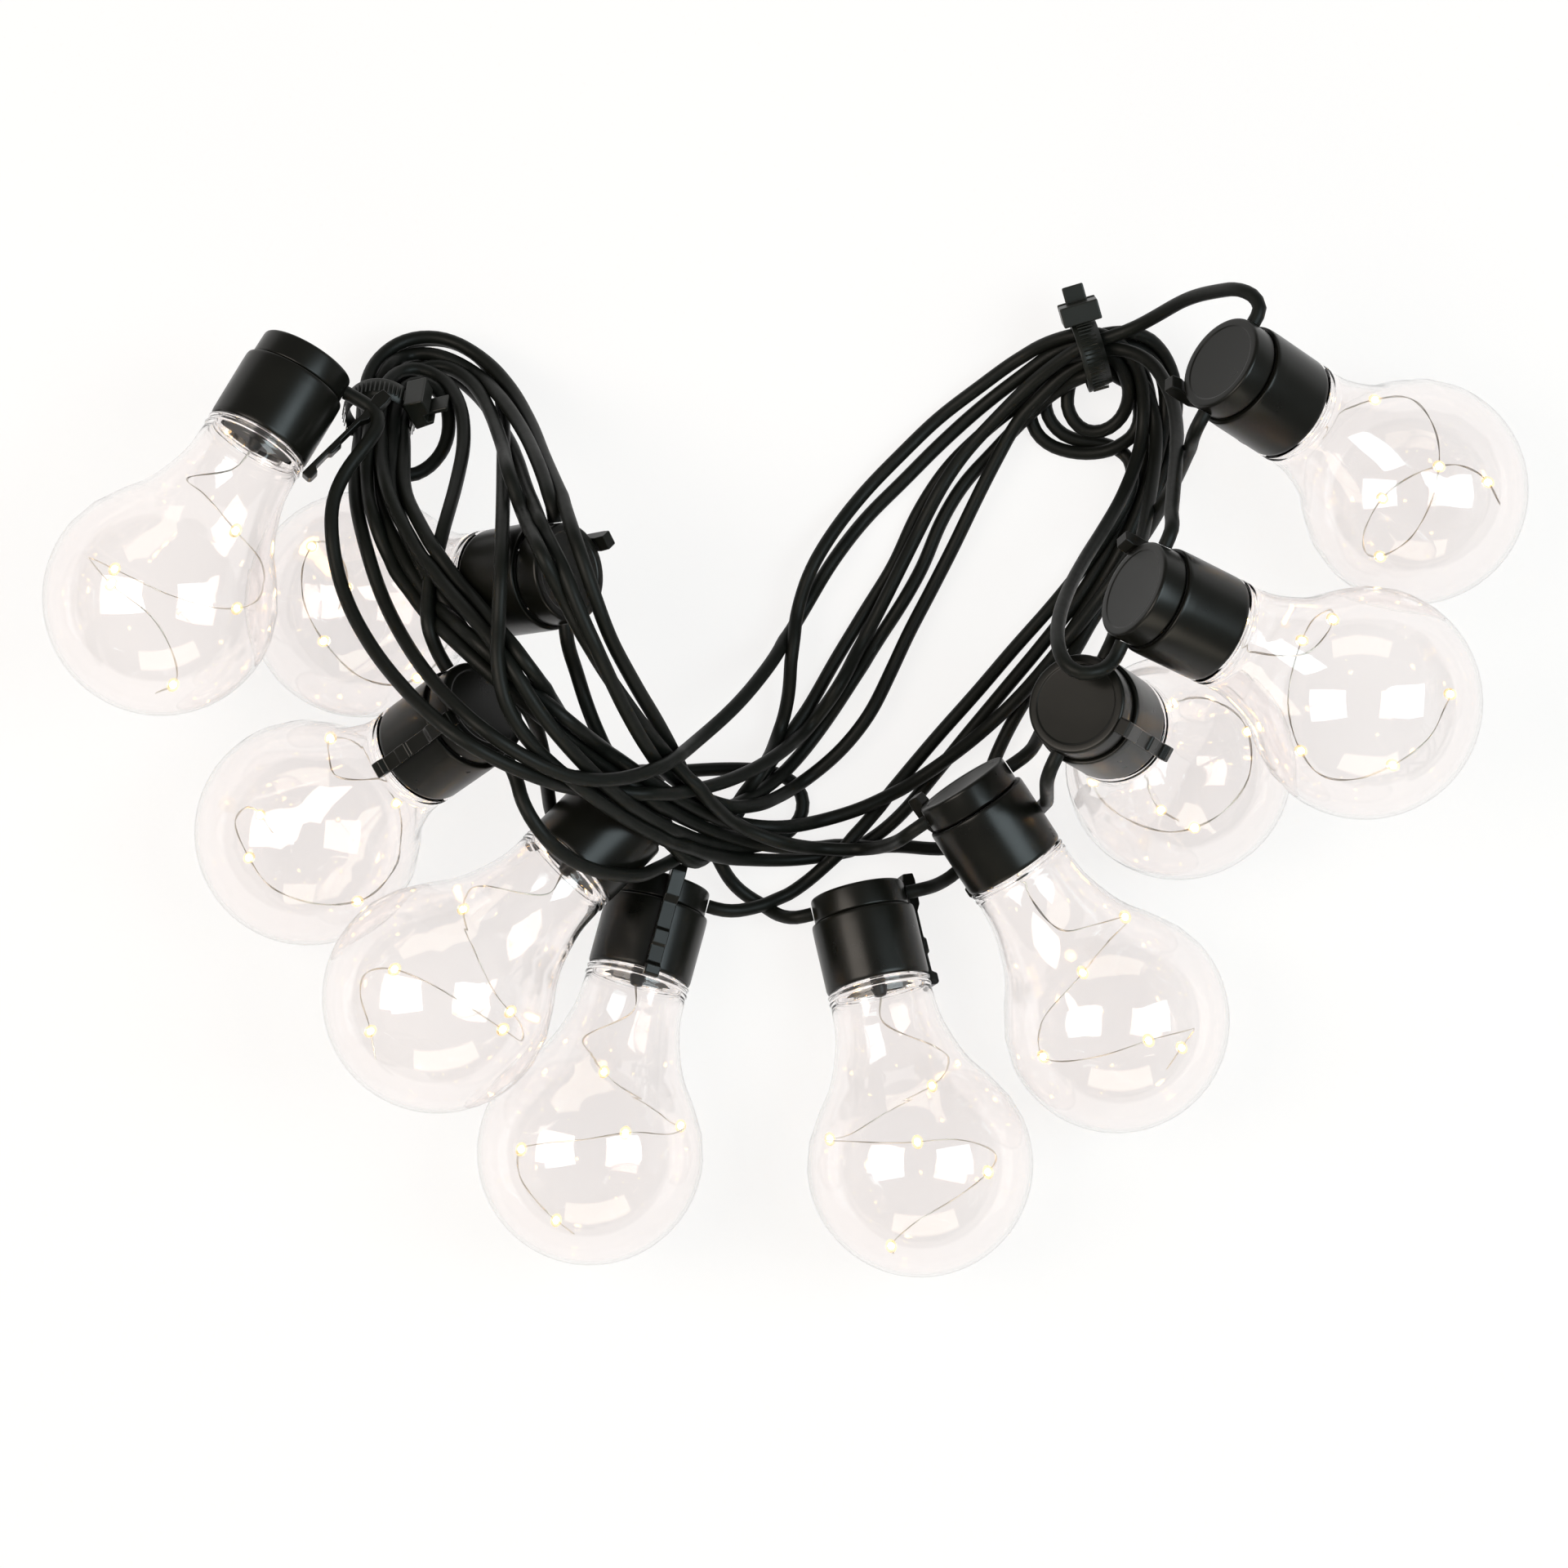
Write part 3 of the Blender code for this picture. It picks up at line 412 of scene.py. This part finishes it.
HOLDER = add_noise(
    material("holder_plastic", (0.0034, 0.0036, 0.0028), 0.3, Specular_IOR_Level=0.25),
    scale=90,
    low=0.22,
    high=0.38,
    bump=0.05,
    tint=(0.0060, 0.0060, 0.0042),
)
CORD = add_noise(
    material("cord_rubber", (0.0036, 0.0040, 0.0031), 0.5, Specular_IOR_Level=0.17),
    scale=400,
    low=0.38,
    high=0.56,
    bump=0.12,
    tint=(0.0056, 0.0068, 0.0050),
)
NYLON = add_noise(
    material("tie_nylon", (0.0075, 0.0085, 0.0062), 0.35, Specular_IOR_Level=0.3),
    scale=150,
    low=0.28,
    high=0.45,
    bump=0.05,
)
PLUG = add_noise(
    material("plug_plastic", (0.008, 0.008, 0.007), 0.45),
    scale=200,
    low=0.38,
    high=0.55,
    bump=0.05,
)
CLEAR = material("clear_plastic", (0.996, 0.975, 0.970), 0.03, Transmission_Weight=1.0, IOR=1.42)
WIRE = material("light_wire", (0.74, 0.69, 0.62), 0.30, Metallic=1.0)
# The drop's faint warm emission is painted glow: it stands in for the chip's light scattered in the resin,
# which gives no light of its own.
RESIN = material(
    "led_resin",
    (1.0, 0.86, 0.58),
    0.08,
    Transmission_Weight=1.0,
    IOR=1.4,
    Emission_Strength=0.25,
    Emission_Color=(1.0, 0.74, 0.42, 1.0),
)
GLOW = material(
    "led_chip",
    (1.0, 0.85, 0.55),
    0.4,
    Emission_Strength=80.0,
    Emission_Color=(1.0, 0.62, 0.25, 1.0),
)


# ---------------------------------------------------------------- cords


def smooth_route(points, step):
    """Points about step apart on a smooth curve (centripetal Catmull-Rom) through the chosen ones."""
    nodes = [Vector(p) for p in points]
    nodes = [2 * nodes[0] - nodes[1], *nodes, 2 * nodes[-1] - nodes[-2]]
    route = []
    for a, b, c, d in zip(nodes, nodes[1:], nodes[2:], nodes[3:]):
        t1 = (b - a).length ** 0.5
        t2 = t1 + (c - b).length ** 0.5
        t3 = t2 + (d - c).length ** 0.5
        count = max(1, round((c - b).length / step))
        for i in range(count):
            t = t1 + (t2 - t1) * i / count
            ab = a.lerp(b, t / t1)
            bc = b.lerp(c, (t - t1) / (t2 - t1))
            cd = c.lerp(d, (t - t2) / (t3 - t2))
            left = ab.lerp(bc, t / t2)
            right = bc.lerp(cd, (t - t1) / (t3 - t1))
            route.append(left.lerp(right, (t - t1) / (t2 - t1)))
    return [*route, nodes[-2]]


def even(points, step):
    """The route at equal steps."""
    points = np.array([tuple(p) for p in points])
    run = np.concatenate([[0.0], np.cumsum(np.linalg.norm(np.diff(points, axis=0), axis=1))])
    count = int(round(run[-1] / step))
    at = np.linspace(0.0, run[-1], count + 1)
    return np.column_stack([np.interp(at, run, points[:, k]) for k in range(3)])


# The outside of a lamp as (height along its axis, radius), for the cords that lie on it
OUTSIDE = np.array(
    [
        (GLOBE_Z - 0.0300, 0.0),
        (GLOBE_Z - 0.0260, 0.0150),
        (GLOBE_Z - 0.0150, 0.0260),
        (GLOBE_Z, 0.0300),
        (MOUTH - 0.0376, 0.0275),
        (MOUTH - 0.0303, 0.0231),
        (MOUTH - 0.0208, 0.0173),
        (MOUTH - 0.0114, 0.0146),
        (MOUTH, 0.0144),
        (SEAM, 0.0141),
        (CAP_TOP, 0.0128),
    ]
)
# Steps along a cord: as first drawn, while it settles and as it is drawn at last
DRAWN_STEP = 0.0015
STEP = 0.0040
FINE_STEP = 0.0022
# How far apart settled cords stay from each other, from the lamps and from the floor
CORD_GAP = 0.0001
REST_GAP = 0.0003
# Points this many steps apart along one cord may touch
SAME_BEND = 6
# What a round takes from the moves, and how far a loose point sinks in it
FADE = 0.03
FALL = 0.0002
ROUNDS = 260


def settle(routes, rounds):
    """Lays the strands on the floor, the lamps and each other. They keep to their traced ways, and what
    moves them apart where two would run through each other is spread smoothly along the cord. Where many
    cross, some still press a little into each other."""
    runs = [even(unkink(even(route, DRAWN_STEP)), STEP) for route in routes]
    start = np.concatenate(runs)
    moved = np.zeros_like(start)
    strand = np.concatenate([np.full(len(r), i) for i, r in enumerate(runs)])
    place = np.concatenate([np.arange(len(r)) for r in runs])
    last = np.concatenate([np.full(len(r), len(r) - 1) for r in runs])
    ends = np.minimum(place, last - place)
    loose = ends > 1
    frames = [(np.array(m.inverted()), np.array(m)) for m in FRAMES.values()]
    width = 2 * CORD_R + CORD_GAP
    apart = abs(place[:, None] - place[None, :])
    other = (strand[:, None] != strand[None, :]) | (apart > SAME_BEND)
    for turn in range(rounds):
        late = turn / rounds
        moved[loose] *= 1 - FADE * (1 - late)
        moved[loose, 2] -= FALL * (1 - late)
        straighten(moved, place, last, loose, 1 - 0.6 * late)
        points = start + moved
        part_strands(points, other, width, loose)
        push_off_lamps(points, frames, loose & (ends > 2))
        hold_in_ties(points, loose)
        points[:, 2] = np.maximum(points[:, 2], CORD_R + REST_GAP)
        moved = points - start
    made, at = [], 0
    for run in runs:
        made.append((start + moved)[at : at + len(run)])
        at += len(run)
    return made


def unkink(points):
    """The same way with its short waves taken out and its long bends kept, as a stiff cord lies.
    Each pass that draws the points in is followed by one that lets them out a little more."""
    for turn in range(90):
        weight = 0.5 if turn % 2 == 0 else -0.512
        middle = (points[:-2] + points[2:]) / 2
        points[1:-1] += weight * (middle - points[1:-1])
    return points


def straighten(moved, place, last, loose, force):
    """The cord's stiffness: each point's move goes towards its neighbours' moves, near and far."""
    for reach, weight in ((1, 0.5), (2, 0.4), (4, 0.2)):
        ok = np.flatnonzero(loose & (place >= reach) & (last - place >= reach))
        moved[ok] += force * weight * ((moved[ok - reach] + moved[ok + reach]) / 2 - moved[ok])


def part_strands(points, other, width, loose):
    """Moves points of two strands apart where the strands would run through each other."""
    for _ in range(2):
        square = (points**2).sum(axis=1)
        gap = square[:, None] + square[None, :] - 2 * points @ points.T
        a, b = np.nonzero(np.triu((gap < width * width) & other, 1))
        if not len(a):
            return
        way = points[a] - points[b]
        size = np.sqrt((way**2).sum(axis=1))[:, None] + 1e-6
        # strands slide over each other upwards sooner than sideways
        way[:, 2] *= 1.5
        way /= np.sqrt((way**2).sum(axis=1))[:, None] + 1e-6
        short = np.maximum(width - size, 0.0)
        push = 0.35 * short * way
        times = np.maximum(np.bincount(np.concatenate([a, b]), minlength=len(points)), 1) ** 0.5
        np.add.at(points, a, push / times[a][:, None] * loose[a][:, None])
        np.add.at(points, b, -push / times[b][:, None] * loose[b][:, None])


def push_off_lamps(points, frames, free):
    """Moves points that are in a lamp out through its side, or over its cap where that is nearer."""
    for inverse, forward in frames:
        local = points @ inverse[:3, :3].T + inverse[:3, 3]
        height, around = local[:, 2], np.hypot(local[:, 0], local[:, 1]) + 1e-9
        out = np.interp(height, OUTSIDE[:, 0], OUTSIDE[:, 1], left=0.0, right=0.0)
        deep = out + CORD_R + REST_GAP - around
        inside = (deep > 0) & (height < CAP_TOP + CORD_R) & (height > OUTSIDE[0, 0]) & free
        over = CAP_TOP + CORD_R + REST_GAP - height
        axial = inside & (over < deep)
        radial = inside & ~axial
        local[axial, 2] += over[axial]
        local[radial, :2] *= ((around + deep) / around)[radial, None]
        moved = axial | radial
        points[moved] = local[moved] @ forward[:3, :3].T + forward[:3, 3]


# Each tie: its middle, the way the strands run through it, its inner radius and where its head is
TIES = {
    "tie_left": ((-0.1105, 0.0972, 0.0300), (-0.0015, -0.0230, 0.0240), 0.0084, -66.0),
    "tie_right": ((0.0788, 0.1142, 0.0200), (0.0240, 0.0070, 0.0012), 0.0084, -75.0),
}
TIE_HALF_WIDTH = 0.0045
TIE_CATCH = 0.005


def hold_in_ties(points, loose):
    """Draws the points that pass through a tie, or close beside it, to within its band."""
    for centre, way, band, _ in TIES.values():
        axis = np.array(Vector(way).normalized())
        inner = band - CORD_R
        away = points - np.array(centre)
        along = away @ axis
        side = away - along[:, None] * axis
        size = np.linalg.norm(side, axis=1) + 1e-9
        inside = (abs(along) < TIE_HALF_WIDTH) & (size < inner + TIE_CATCH) & (size > inner) & loose
        points[inside] -= side[inside] * ((size - inner) / size)[inside, None]


def cord_object(name, route):
    """A round cord along the route."""
    curve = bpy.data.curves.new(name, "CURVE")
    curve.dimensions = "3D"
    curve.bevel_depth = CORD_R
    curve.bevel_resolution = 4
    curve.use_fill_caps = True
    spline = curve.splines.new("POLY")
    spline.points.add(len(route) - 1)
    for point, at in zip(spline.points, route):
        point.co = (*(float(v) for v in at), 1.0)
    spline.use_smooth = True
    obj = bpy.data.objects.new(name, curve)
    bpy.context.scene.collection.objects.link(obj)
    curve.materials.append(CORD)
    return obj


def fine(route):
    """The settled route drawn again as a smooth line at shorter steps."""
    return even(smooth_route(route, DRAWN_STEP), FINE_STEP)


def make_connector(route):
    """The moulded in-line connector that ends the supply lead, with its tapered relief."""
    end = Vector(route[-1])
    along = (end - Vector(route[-6])).normalized()
    place = Matrix.Translation(end) @ along.to_track_quat("Z", "Y").to_matrix().to_4x4()
    profile = [
        (0.0, 0.0120),
        (0.0021, 0.0120),
        (0.0021, 0.0170),
        (0.0031, 0.0170),
        (0.0031, 0.0090),
        (0.0034, 0.0086),
        (0.0034, 0.0010),
        (0.0030, -0.0002),
        (0.0029, -0.0030),
        (0.0023, -0.0085),
        (CORD_R + 0.00004, -0.0085),
        (CORD_R + 0.00004, 0.0002),
        (0.0, 0.0002),
    ]
    points, faces = revolve(rounded(profile, 0.0002, 3), 40)
    obj = mesh_object("lead_connector", points, faces, PLUG, place)
    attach(obj, "bundle")
    return obj


def make_cords():
    routes = [smooth_route(points, 0.002) for points in CORDS.values()]
    settled = settle(routes, ROUNDS)
    for name, route in zip(CORDS, settled):
        route = fine(route)
        obj = cord_object(name, route)
        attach(obj, "bundle")
        supply = name == "cord_6_end"
        [make_connector(route)] if supply else ()
        for node in STANDS_FOR.get(name, ()):
            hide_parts(node)


STANDS_FOR = {
    "cord_10_2": ("bundle_right",),
    "cord_4_7": ("bundle_left",),
    "cord_3_8": ("bundle_loop",),
    "cord_9_3": ("bundle_upper",),
    "cord_7_5": ("cord_lamp7", "cord_lamp5"),
    "cord_1_10": ("cord_lamp10",),
    "cord_2_9": ("coil_small",),
}


# ---------------------------------------------------------------- lamps


def bulb_profile():
    """Down the bulb's outside from the neck's end to the tip."""
    points = [(0.0120, MOUTH + 0.0080), (0.0120, MOUTH - 0.0004)]
    # two rings round the mouth: (radius, how far below the mouth)
    rings = (
        (0.0136, 0.0004),
        (0.0141, 0.0008),
        (0.0139, 0.0014),
        (0.0132, 0.0018),
        (0.0139, 0.0022),
        (0.0141, 0.0028),
        (0.0137, 0.0034),
    )
    points += [(radius, MOUTH - below) for radius, below in rings]
    # the throat that widens from the neck into the globe: (how far below the mouth, radius)
    throat = (
        (0.0050, 0.01385),
        (0.0114, 0.0144),
        (0.0208, 0.0173),
        (0.0254, 0.0196),
        (0.0303, 0.0231),
        (0.0376, 0.0275),
    )
    curve = smooth_route([(below, radius, 0.0) for below, radius in throat], THROAT_STEP)
    points += [(p.y, MOUTH - p.x) for p in curve]
    for i in range(1, 24):
        turn = math.radians(-14 + (104 * i) / 24)
        points.append((GLOBE_R * math.cos(turn), GLOBE_Z - GLOBE_R * math.sin(turn)))
    points.append((0.0, GLOBE_Z - GLOBE_R))
    return points


def inward(profile, wall):
    """The profile moved inwards by the wall, for a thin shell's inner side."""
    made = []
    count = len(profile)
    for i, (radius, height) in enumerate(profile):
        before = Vector(profile[max(i - 1, 0)])
        after = Vector(profile[min(i + 1, count - 1)])
        run = (after - before).normalized()
        if i == count - 1:
            made.append((0.0, height + wall))
            continue
        made.append((max(radius + run.y * wall, 0.0), height - run.x * wall))
    return made


def make_bulb(lamp):
    """The clear globe as a thin shell: down its outside to the tip, and back up its inside."""
    outer = bulb_profile()
    neck, top = outer[0]
    base = [outer[0], *[p for p in outer if p[1] < MOUTH - 0.0040]]
    inner = inward(base, GLOBE_WALL)
    inner[0] = (neck - GLOBE_WALL, top)
    points, faces = revolve([*outer, *reversed(inner)], 56)
    obj = mesh_object(f"{lamp}_globe", points, faces, CLEAR, FRAMES[lamp])
    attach(obj, body_of(lamp))
    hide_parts(f"{lamp}_bulb")


def make_holder(lamp):
    """The holder's shell and, past a dark seam, its round end cap with a shallow dished face."""
    shell = [
        (0.01235, SEAM + 0.0001),
        (0.01385, SEAM + 0.0001),
        (0.01400, SEAM - 0.0006),
        (0.01405, SEAM - 0.0030),
        (0.01400, MOUTH + 0.0010),
        (0.01375, MOUTH + 0.0001),
        (0.01260, MOUTH + 0.0001),
    ]
    points, faces = revolve(rounded(shell, 0.0004, 3), 64)
    obj = mesh_object(f"{lamp}_holder", points, faces, HOLDER, FRAMES[lamp])
    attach(obj, body_of(lamp))
    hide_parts(f"{lamp}_shell")
    cap = [
        (0.0, CAP_TOP - 0.0002),
        (0.0103, CAP_TOP - 0.0002),
        (0.0106, CAP_TOP),
        (0.01275, CAP_TOP),
        (0.01290, -0.0030),
        (0.01240, -0.0035),
        (0.01090, -0.0035),
        (0.01090, CAP_TOP - 0.0016),
        (0.0, CAP_TOP - 0.0016),
    ]
    points, faces = revolve(rounded(cap, 0.0009, 5), 64)
    obj = mesh_object(f"{lamp}_end_cap", points, faces, HOLDER, FRAMES[lamp])
    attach(obj, body_of(lamp))
    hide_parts(f"{lamp}_cap")


def make_plug(lamp):
    """The plug that closes the neck, with the stub that the light wire comes out of."""
    profile = [
        (0.0, -0.0100),
        (0.0028, -0.0100),
        (0.0034, MOUTH + 0.0052),
        (0.0080, MOUTH + 0.0040),
        (0.0106, MOUTH + 0.0030),
        (0.0106, MOUTH + 0.0010),
        (0.0060, MOUTH + 0.0006),
        (0.0022, MOUTH + 0.0004),
        (0.0016, MOUTH - 0.0030),
        (0.0, MOUTH - 0.0034),
    ]
    points, faces = revolve(rounded(profile, 0.0005, 3), 32)
    obj = mesh_object(f"{lamp}_wire_plug", points, faces, PLUG, FRAMES[lamp])
    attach(obj, body_of(lamp))
    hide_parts(f"{lamp}_led_plug")


def make_clip(lamp):
    """The hanging strap: rooted in an eye at the mouth, with a grip, a step and a hooked free end."""
    around, opened = (math.radians(v) for v in LAMPS[lamp][3:5])
    low = MOUTH - 0.0023
    reach = 0.0144
    top = CAP_TOP + 0.0026 - low
    seam = SEAM - low
    outline = [
        (0.0, 0.0),
        (0.0022, 0.0),
        (0.0028, 0.0006),
        (0.0028, 0.0030),
        (0.0014, 0.0038),
        (0.0013, 0.0085),
        (0.0020, 0.0090),
        (0.0020, 0.0128),
        (0.0013, 0.0133),
        (0.0013, seam - 0.0008),
        (0.0024, seam + 0.0012),
        (0.0027, top - 0.0020),
        (0.0024, top),
        (-0.0006, top),
        (-0.0012, top - 0.0026),
        (0.0001, seam + 0.0012),
    ]
    outward = Vector((math.sin(around), math.cos(around), 0.0))
    upward = Vector((0.0, 0.0, 1.0))
    place = Matrix((outward, upward, outward.cross(upward))).transposed().to_4x4()
    place.translation = outward * reach + upward * low
    place = FRAMES[lamp] @ place @ Matrix.Rotation(-opened, 4, "Z")
    obj = prism(f"{lamp}_hanging_clip", outline, CLIP_HALF_WIDTH, HOLDER, place, edge=0.00035)
    edges = obj.modifiers["edges"]
    edges.angle_limit = math.radians(25)
    edges.harden_normals = True
    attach(obj, clip_body(lamp))
    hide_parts(f"{lamp}_clip")


WIRE_R = 0.00013
# Half the distance between the two strands of the light wire, and how far they turn at each point
TWIST_R = 0.00016
TWIST = 0.22
# Where the LEDs are, as shares of the wire's length
LEDS_AT = [0.22 + 0.185 * i for i in range(5)]
CHIP_R = 0.00065
DROP_R = 0.0015


def light_route(lamp):
    """A way down through the neck and round the globe near its wall, different in each lamp."""
    rng = random.Random(sum(ord(c) for c in lamp) * 7)
    turns = 1.1 + rng.random() * 0.5
    phase = rng.random() * math.tau
    hand = rng.choice((-1, 1))
    knots = [(0.0, 0.0, MOUTH - 0.0030), (0.0012 * hand, 0.0008, MOUTH - 0.0100)]
    count = 15
    for i in range(count):
        t = i / (count - 1)
        down = 0.020 + 0.050 * t
        turn = phase + hand * turns * math.tau * t
        wide = 0.84 * min(0.0270, float(np.interp(MOUTH - down, OUTSIDE[:, 0], OUTSIDE[:, 1])))
        wide *= 0.70 + 0.30 * math.sin(math.pi * min(1.0, 0.15 + t)) + rng.uniform(-0.04, 0.04)
        height = MOUTH - down + rng.uniform(-0.001, 0.001)
        knots.append((wide * math.cos(turn), wide * math.sin(turn), height))
    return smooth_route(knots, 0.0008)


def wire_object(name, route, phase):
    """One strand of the twisted pair along the route."""
    curve = bpy.data.curves.new(name, "CURVE")
    curve.dimensions = "3D"
    curve.bevel_depth = WIRE_R
    curve.bevel_resolution = 2
    curve.use_fill_caps = True
    spline = curve.splines.new("POLY")
    spline.points.add(len(route) - 1)
    for k, (point, at) in enumerate(zip(spline.points, route)):
        turn = TWIST * k + phase
        point.co = (at.x + TWIST_R * math.cos(turn), at.y + TWIST_R * math.sin(turn), at.z, 1.0)
    spline.use_smooth = True
    obj = bpy.data.objects.new(name, curve)
    bpy.context.scene.collection.objects.link(obj)
    curve.materials.append(WIRE)
    return obj


def bead_mesh(name, radius, centres, look, place):
    """A small egg at each centre, all in one mesh."""
    angles = [math.pi * k / 8 for k in range(9)]
    egg = [(radius * math.sin(angle), radius * 1.25 * math.cos(angle)) for angle in angles]
    shape, around = revolve(egg, 14)
    points, faces = [], []
    for at in centres:
        base = len(points)
        points += [(p[0] + at.x, p[1] + at.y, p[2] + at.z) for p in shape]
        faces += [tuple(base + v for v in face) for face in around]
    return mesh_object(name, points, faces, look, place)


def make_lights(lamp):
    """The thin twin wire that curls in the globe, and the small LEDs in drops of resin on it."""
    route = light_route(lamp)
    pieces = []
    for strand, phase in (("a", 0.0), ("b", math.pi)):
        obj = wire_object(f"{lamp}_wire_{strand}", route, phase)
        obj.data.transform(FRAMES[lamp])
        pieces.append(obj)
    centres = [route[int(len(route) * share)] for share in LEDS_AT]
    for kind, radius, look in (("leds", CHIP_R, GLOW), ("drops", DROP_R, RESIN)):
        pieces.append(bead_mesh(f"{lamp}_{kind}", radius, centres, look, FRAMES[lamp]))
    for obj in pieces:
        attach(obj, body_of(lamp))


# ---------------------------------------------------------------- ties


TIE_THICK = 0.0013
BAND_HALF = 0.00335
HEAD_WIDE, HEAD_DEEP, HEAD_TALL = 0.0088, 0.0056, 0.0104
TAIL_HALF = 0.0029
TEETH = 44
TOOTH_PITCH = 7.2
TOOTH = 0.00022
TEETH_HALF = 0.0021


def head_outline(outer):
    """The head seen from its end, on the band at that radius, with the slot that the tail comes out of."""
    half = HEAD_WIDE / 2
    top = outer + HEAD_DEEP - 0.0006
    return [
        (-half, outer - 0.0004),
        (half, outer - 0.0004),
        (half - 0.0004, top),
        (0.0030, top),
        (0.0030, top - 0.0016),
        (0.0008, top - 0.0016),
        (0.0008, top),
        (-half + 0.0004, top),
    ]


def tail_outline(outer):
    """The tail from inside the head's slot to where it was cut off, a little askew."""
    top = outer + HEAD_DEEP
    return [
        (0.0013, top - 0.0030),
        (0.0026, top - 0.0030),
        (0.0030, top + 0.0034),
        (0.0017, top + 0.0038),
    ]


def tie_teeth(outer, head_at):
    """The teeth that the ratchet grips, as fine ribs across the band."""
    points, faces = [], []
    for i in range(TEETH):
        a = math.radians(head_at + 112 + i * TOOTH_PITCH)
        base = len(points)
        for z in (-TEETH_HALF, TEETH_HALF):
            for along, out in ((-TOOTH, 0.0), (TOOTH, 0.0), (0.0, TOOTH)):
                r = outer + out - 0.00006
                x = r * math.cos(a) - along * math.sin(a)
                y = r * math.sin(a) + along * math.cos(a)
                points.append((x, y, z))
        faces += [(base, base + 2, base + 1), (base + 3, base + 4, base + 5)]
        for k in range(3):
            after = (k + 1) % 3
            faces.append((base + k, base + after, base + 3 + after, base + 3 + k))
    return points, faces


def make_tie(name, centre, axis, inner, head_at):
    """A flat band round the strands, with a square ratchet head and the short cut tail."""
    place = Matrix.Translation(centre) @ axis.to_track_quat("Z", "Y").to_matrix().to_4x4()
    outer = inner + TIE_THICK
    band = [(outer, BAND_HALF), (outer, -BAND_HALF), (inner, -BAND_HALF), (inner, BAND_HALF)]
    band.append(band[0])
    points, faces = revolve(rounded(band, 0.0003, 2)[1:-1], 64)
    obj = mesh_object(f"{name}_band", points, faces, NYLON, place)
    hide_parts(name)
    turned = place @ Matrix.Rotation(math.radians(head_at), 4, "Z")
    head = prism(f"{name}_head", head_outline(outer), HEAD_TALL / 2, NYLON, turned)
    tail = prism(f"{name}_tail", tail_outline(outer), TAIL_HALF, NYLON, turned)
    ribs = mesh_object(f"{name}_teeth", *tie_teeth(outer, head_at), NYLON, place, smooth=False)
    for piece in (obj, head, tail, ribs):
        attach(piece, "bundle")


# ---------------------------------------------------------------- stage


def make_stage():
    """The camera straight above, a bright white floor, a dim room and three soft boxes."""
    scene = bpy.context.scene
    data = bpy.data.cameras.new("camera")
    data.lens = 95.3
    data.sensor_width = 36.0
    data.clip_start = 0.05
    camera = bpy.data.objects.new("camera", data)
    camera.location = (-0.0034, -0.0007, 1.13)
    scene.collection.objects.link(camera)
    scene.camera = camera
    # the floor gives light of its own, as a lit white sweep does, so that clear pieces don't darken it
    floor_look = material(
        "floor",
        (0.15, 0.15, 0.15),
        0.9,
        Specular_IOR_Level=0.0,
        Emission_Strength=0.84,
        Emission_Color=(1.0, 0.99, 0.98, 1.0),
    )
    size, level = 3.0, -0.0002
    corners = [(x * size, y * size, level) for x, y in ((-1, -1), (1, -1), (1, 1), (-1, 1))]
    floor = mesh_object("floor", corners, [(0, 1, 2, 3)], floor_look, smooth=False)
    world = bpy.data.worlds.new("world")
    world.use_nodes = True
    world.node_tree.nodes["Background"].inputs["Color"].default_value = (1.0, 0.985, 0.97, 1.0)
    world.node_tree.nodes["Background"].inputs["Strength"].default_value = 0.25
    scene.world = world
    for name, at, size_xy, power, color in (
        ("softbox_left", (-0.68, 0.06, 0.95), (0.62, 0.80), 9.0, (1.0, 0.90, 0.80)),
        ("softbox_right", (0.66, 0.04, 0.95), (0.55, 0.75), 8.0, (0.80, 0.95, 1.0)),
        ("softbox_low", (0.10, -1.1, 0.60), (1.2, 0.5), 5.0, (1.0, 0.90, 0.74)),
    ):
        light = bpy.data.lights.new(name, "AREA")
        light.shape = "RECTANGLE"
        light.size, light.size_y = size_xy
        light.energy = power
        light.color = color
        obj = bpy.data.objects.new(name, light)
        obj.location = at
        obj.rotation_euler = (Vector((0, 0, 0.03)) - Vector(at)).to_track_quat("-Z", "Y").to_euler()
        scene.collection.objects.link(obj)
    scene.view_settings.view_transform = "Standard"


make_stage()
make_cords()
for lamp_name in LAMPS:
    make_bulb(lamp_name)
    make_holder(lamp_name)
    make_plug(lamp_name)
    make_clip(lamp_name)
    make_lights(lamp_name)
for tie_name, (tie_at, tie_way, tie_inner, tie_head) in TIES.items():
    make_tie(tie_name, Vector(tie_at), Vector(tie_way).normalized(), tie_inner, tie_head)
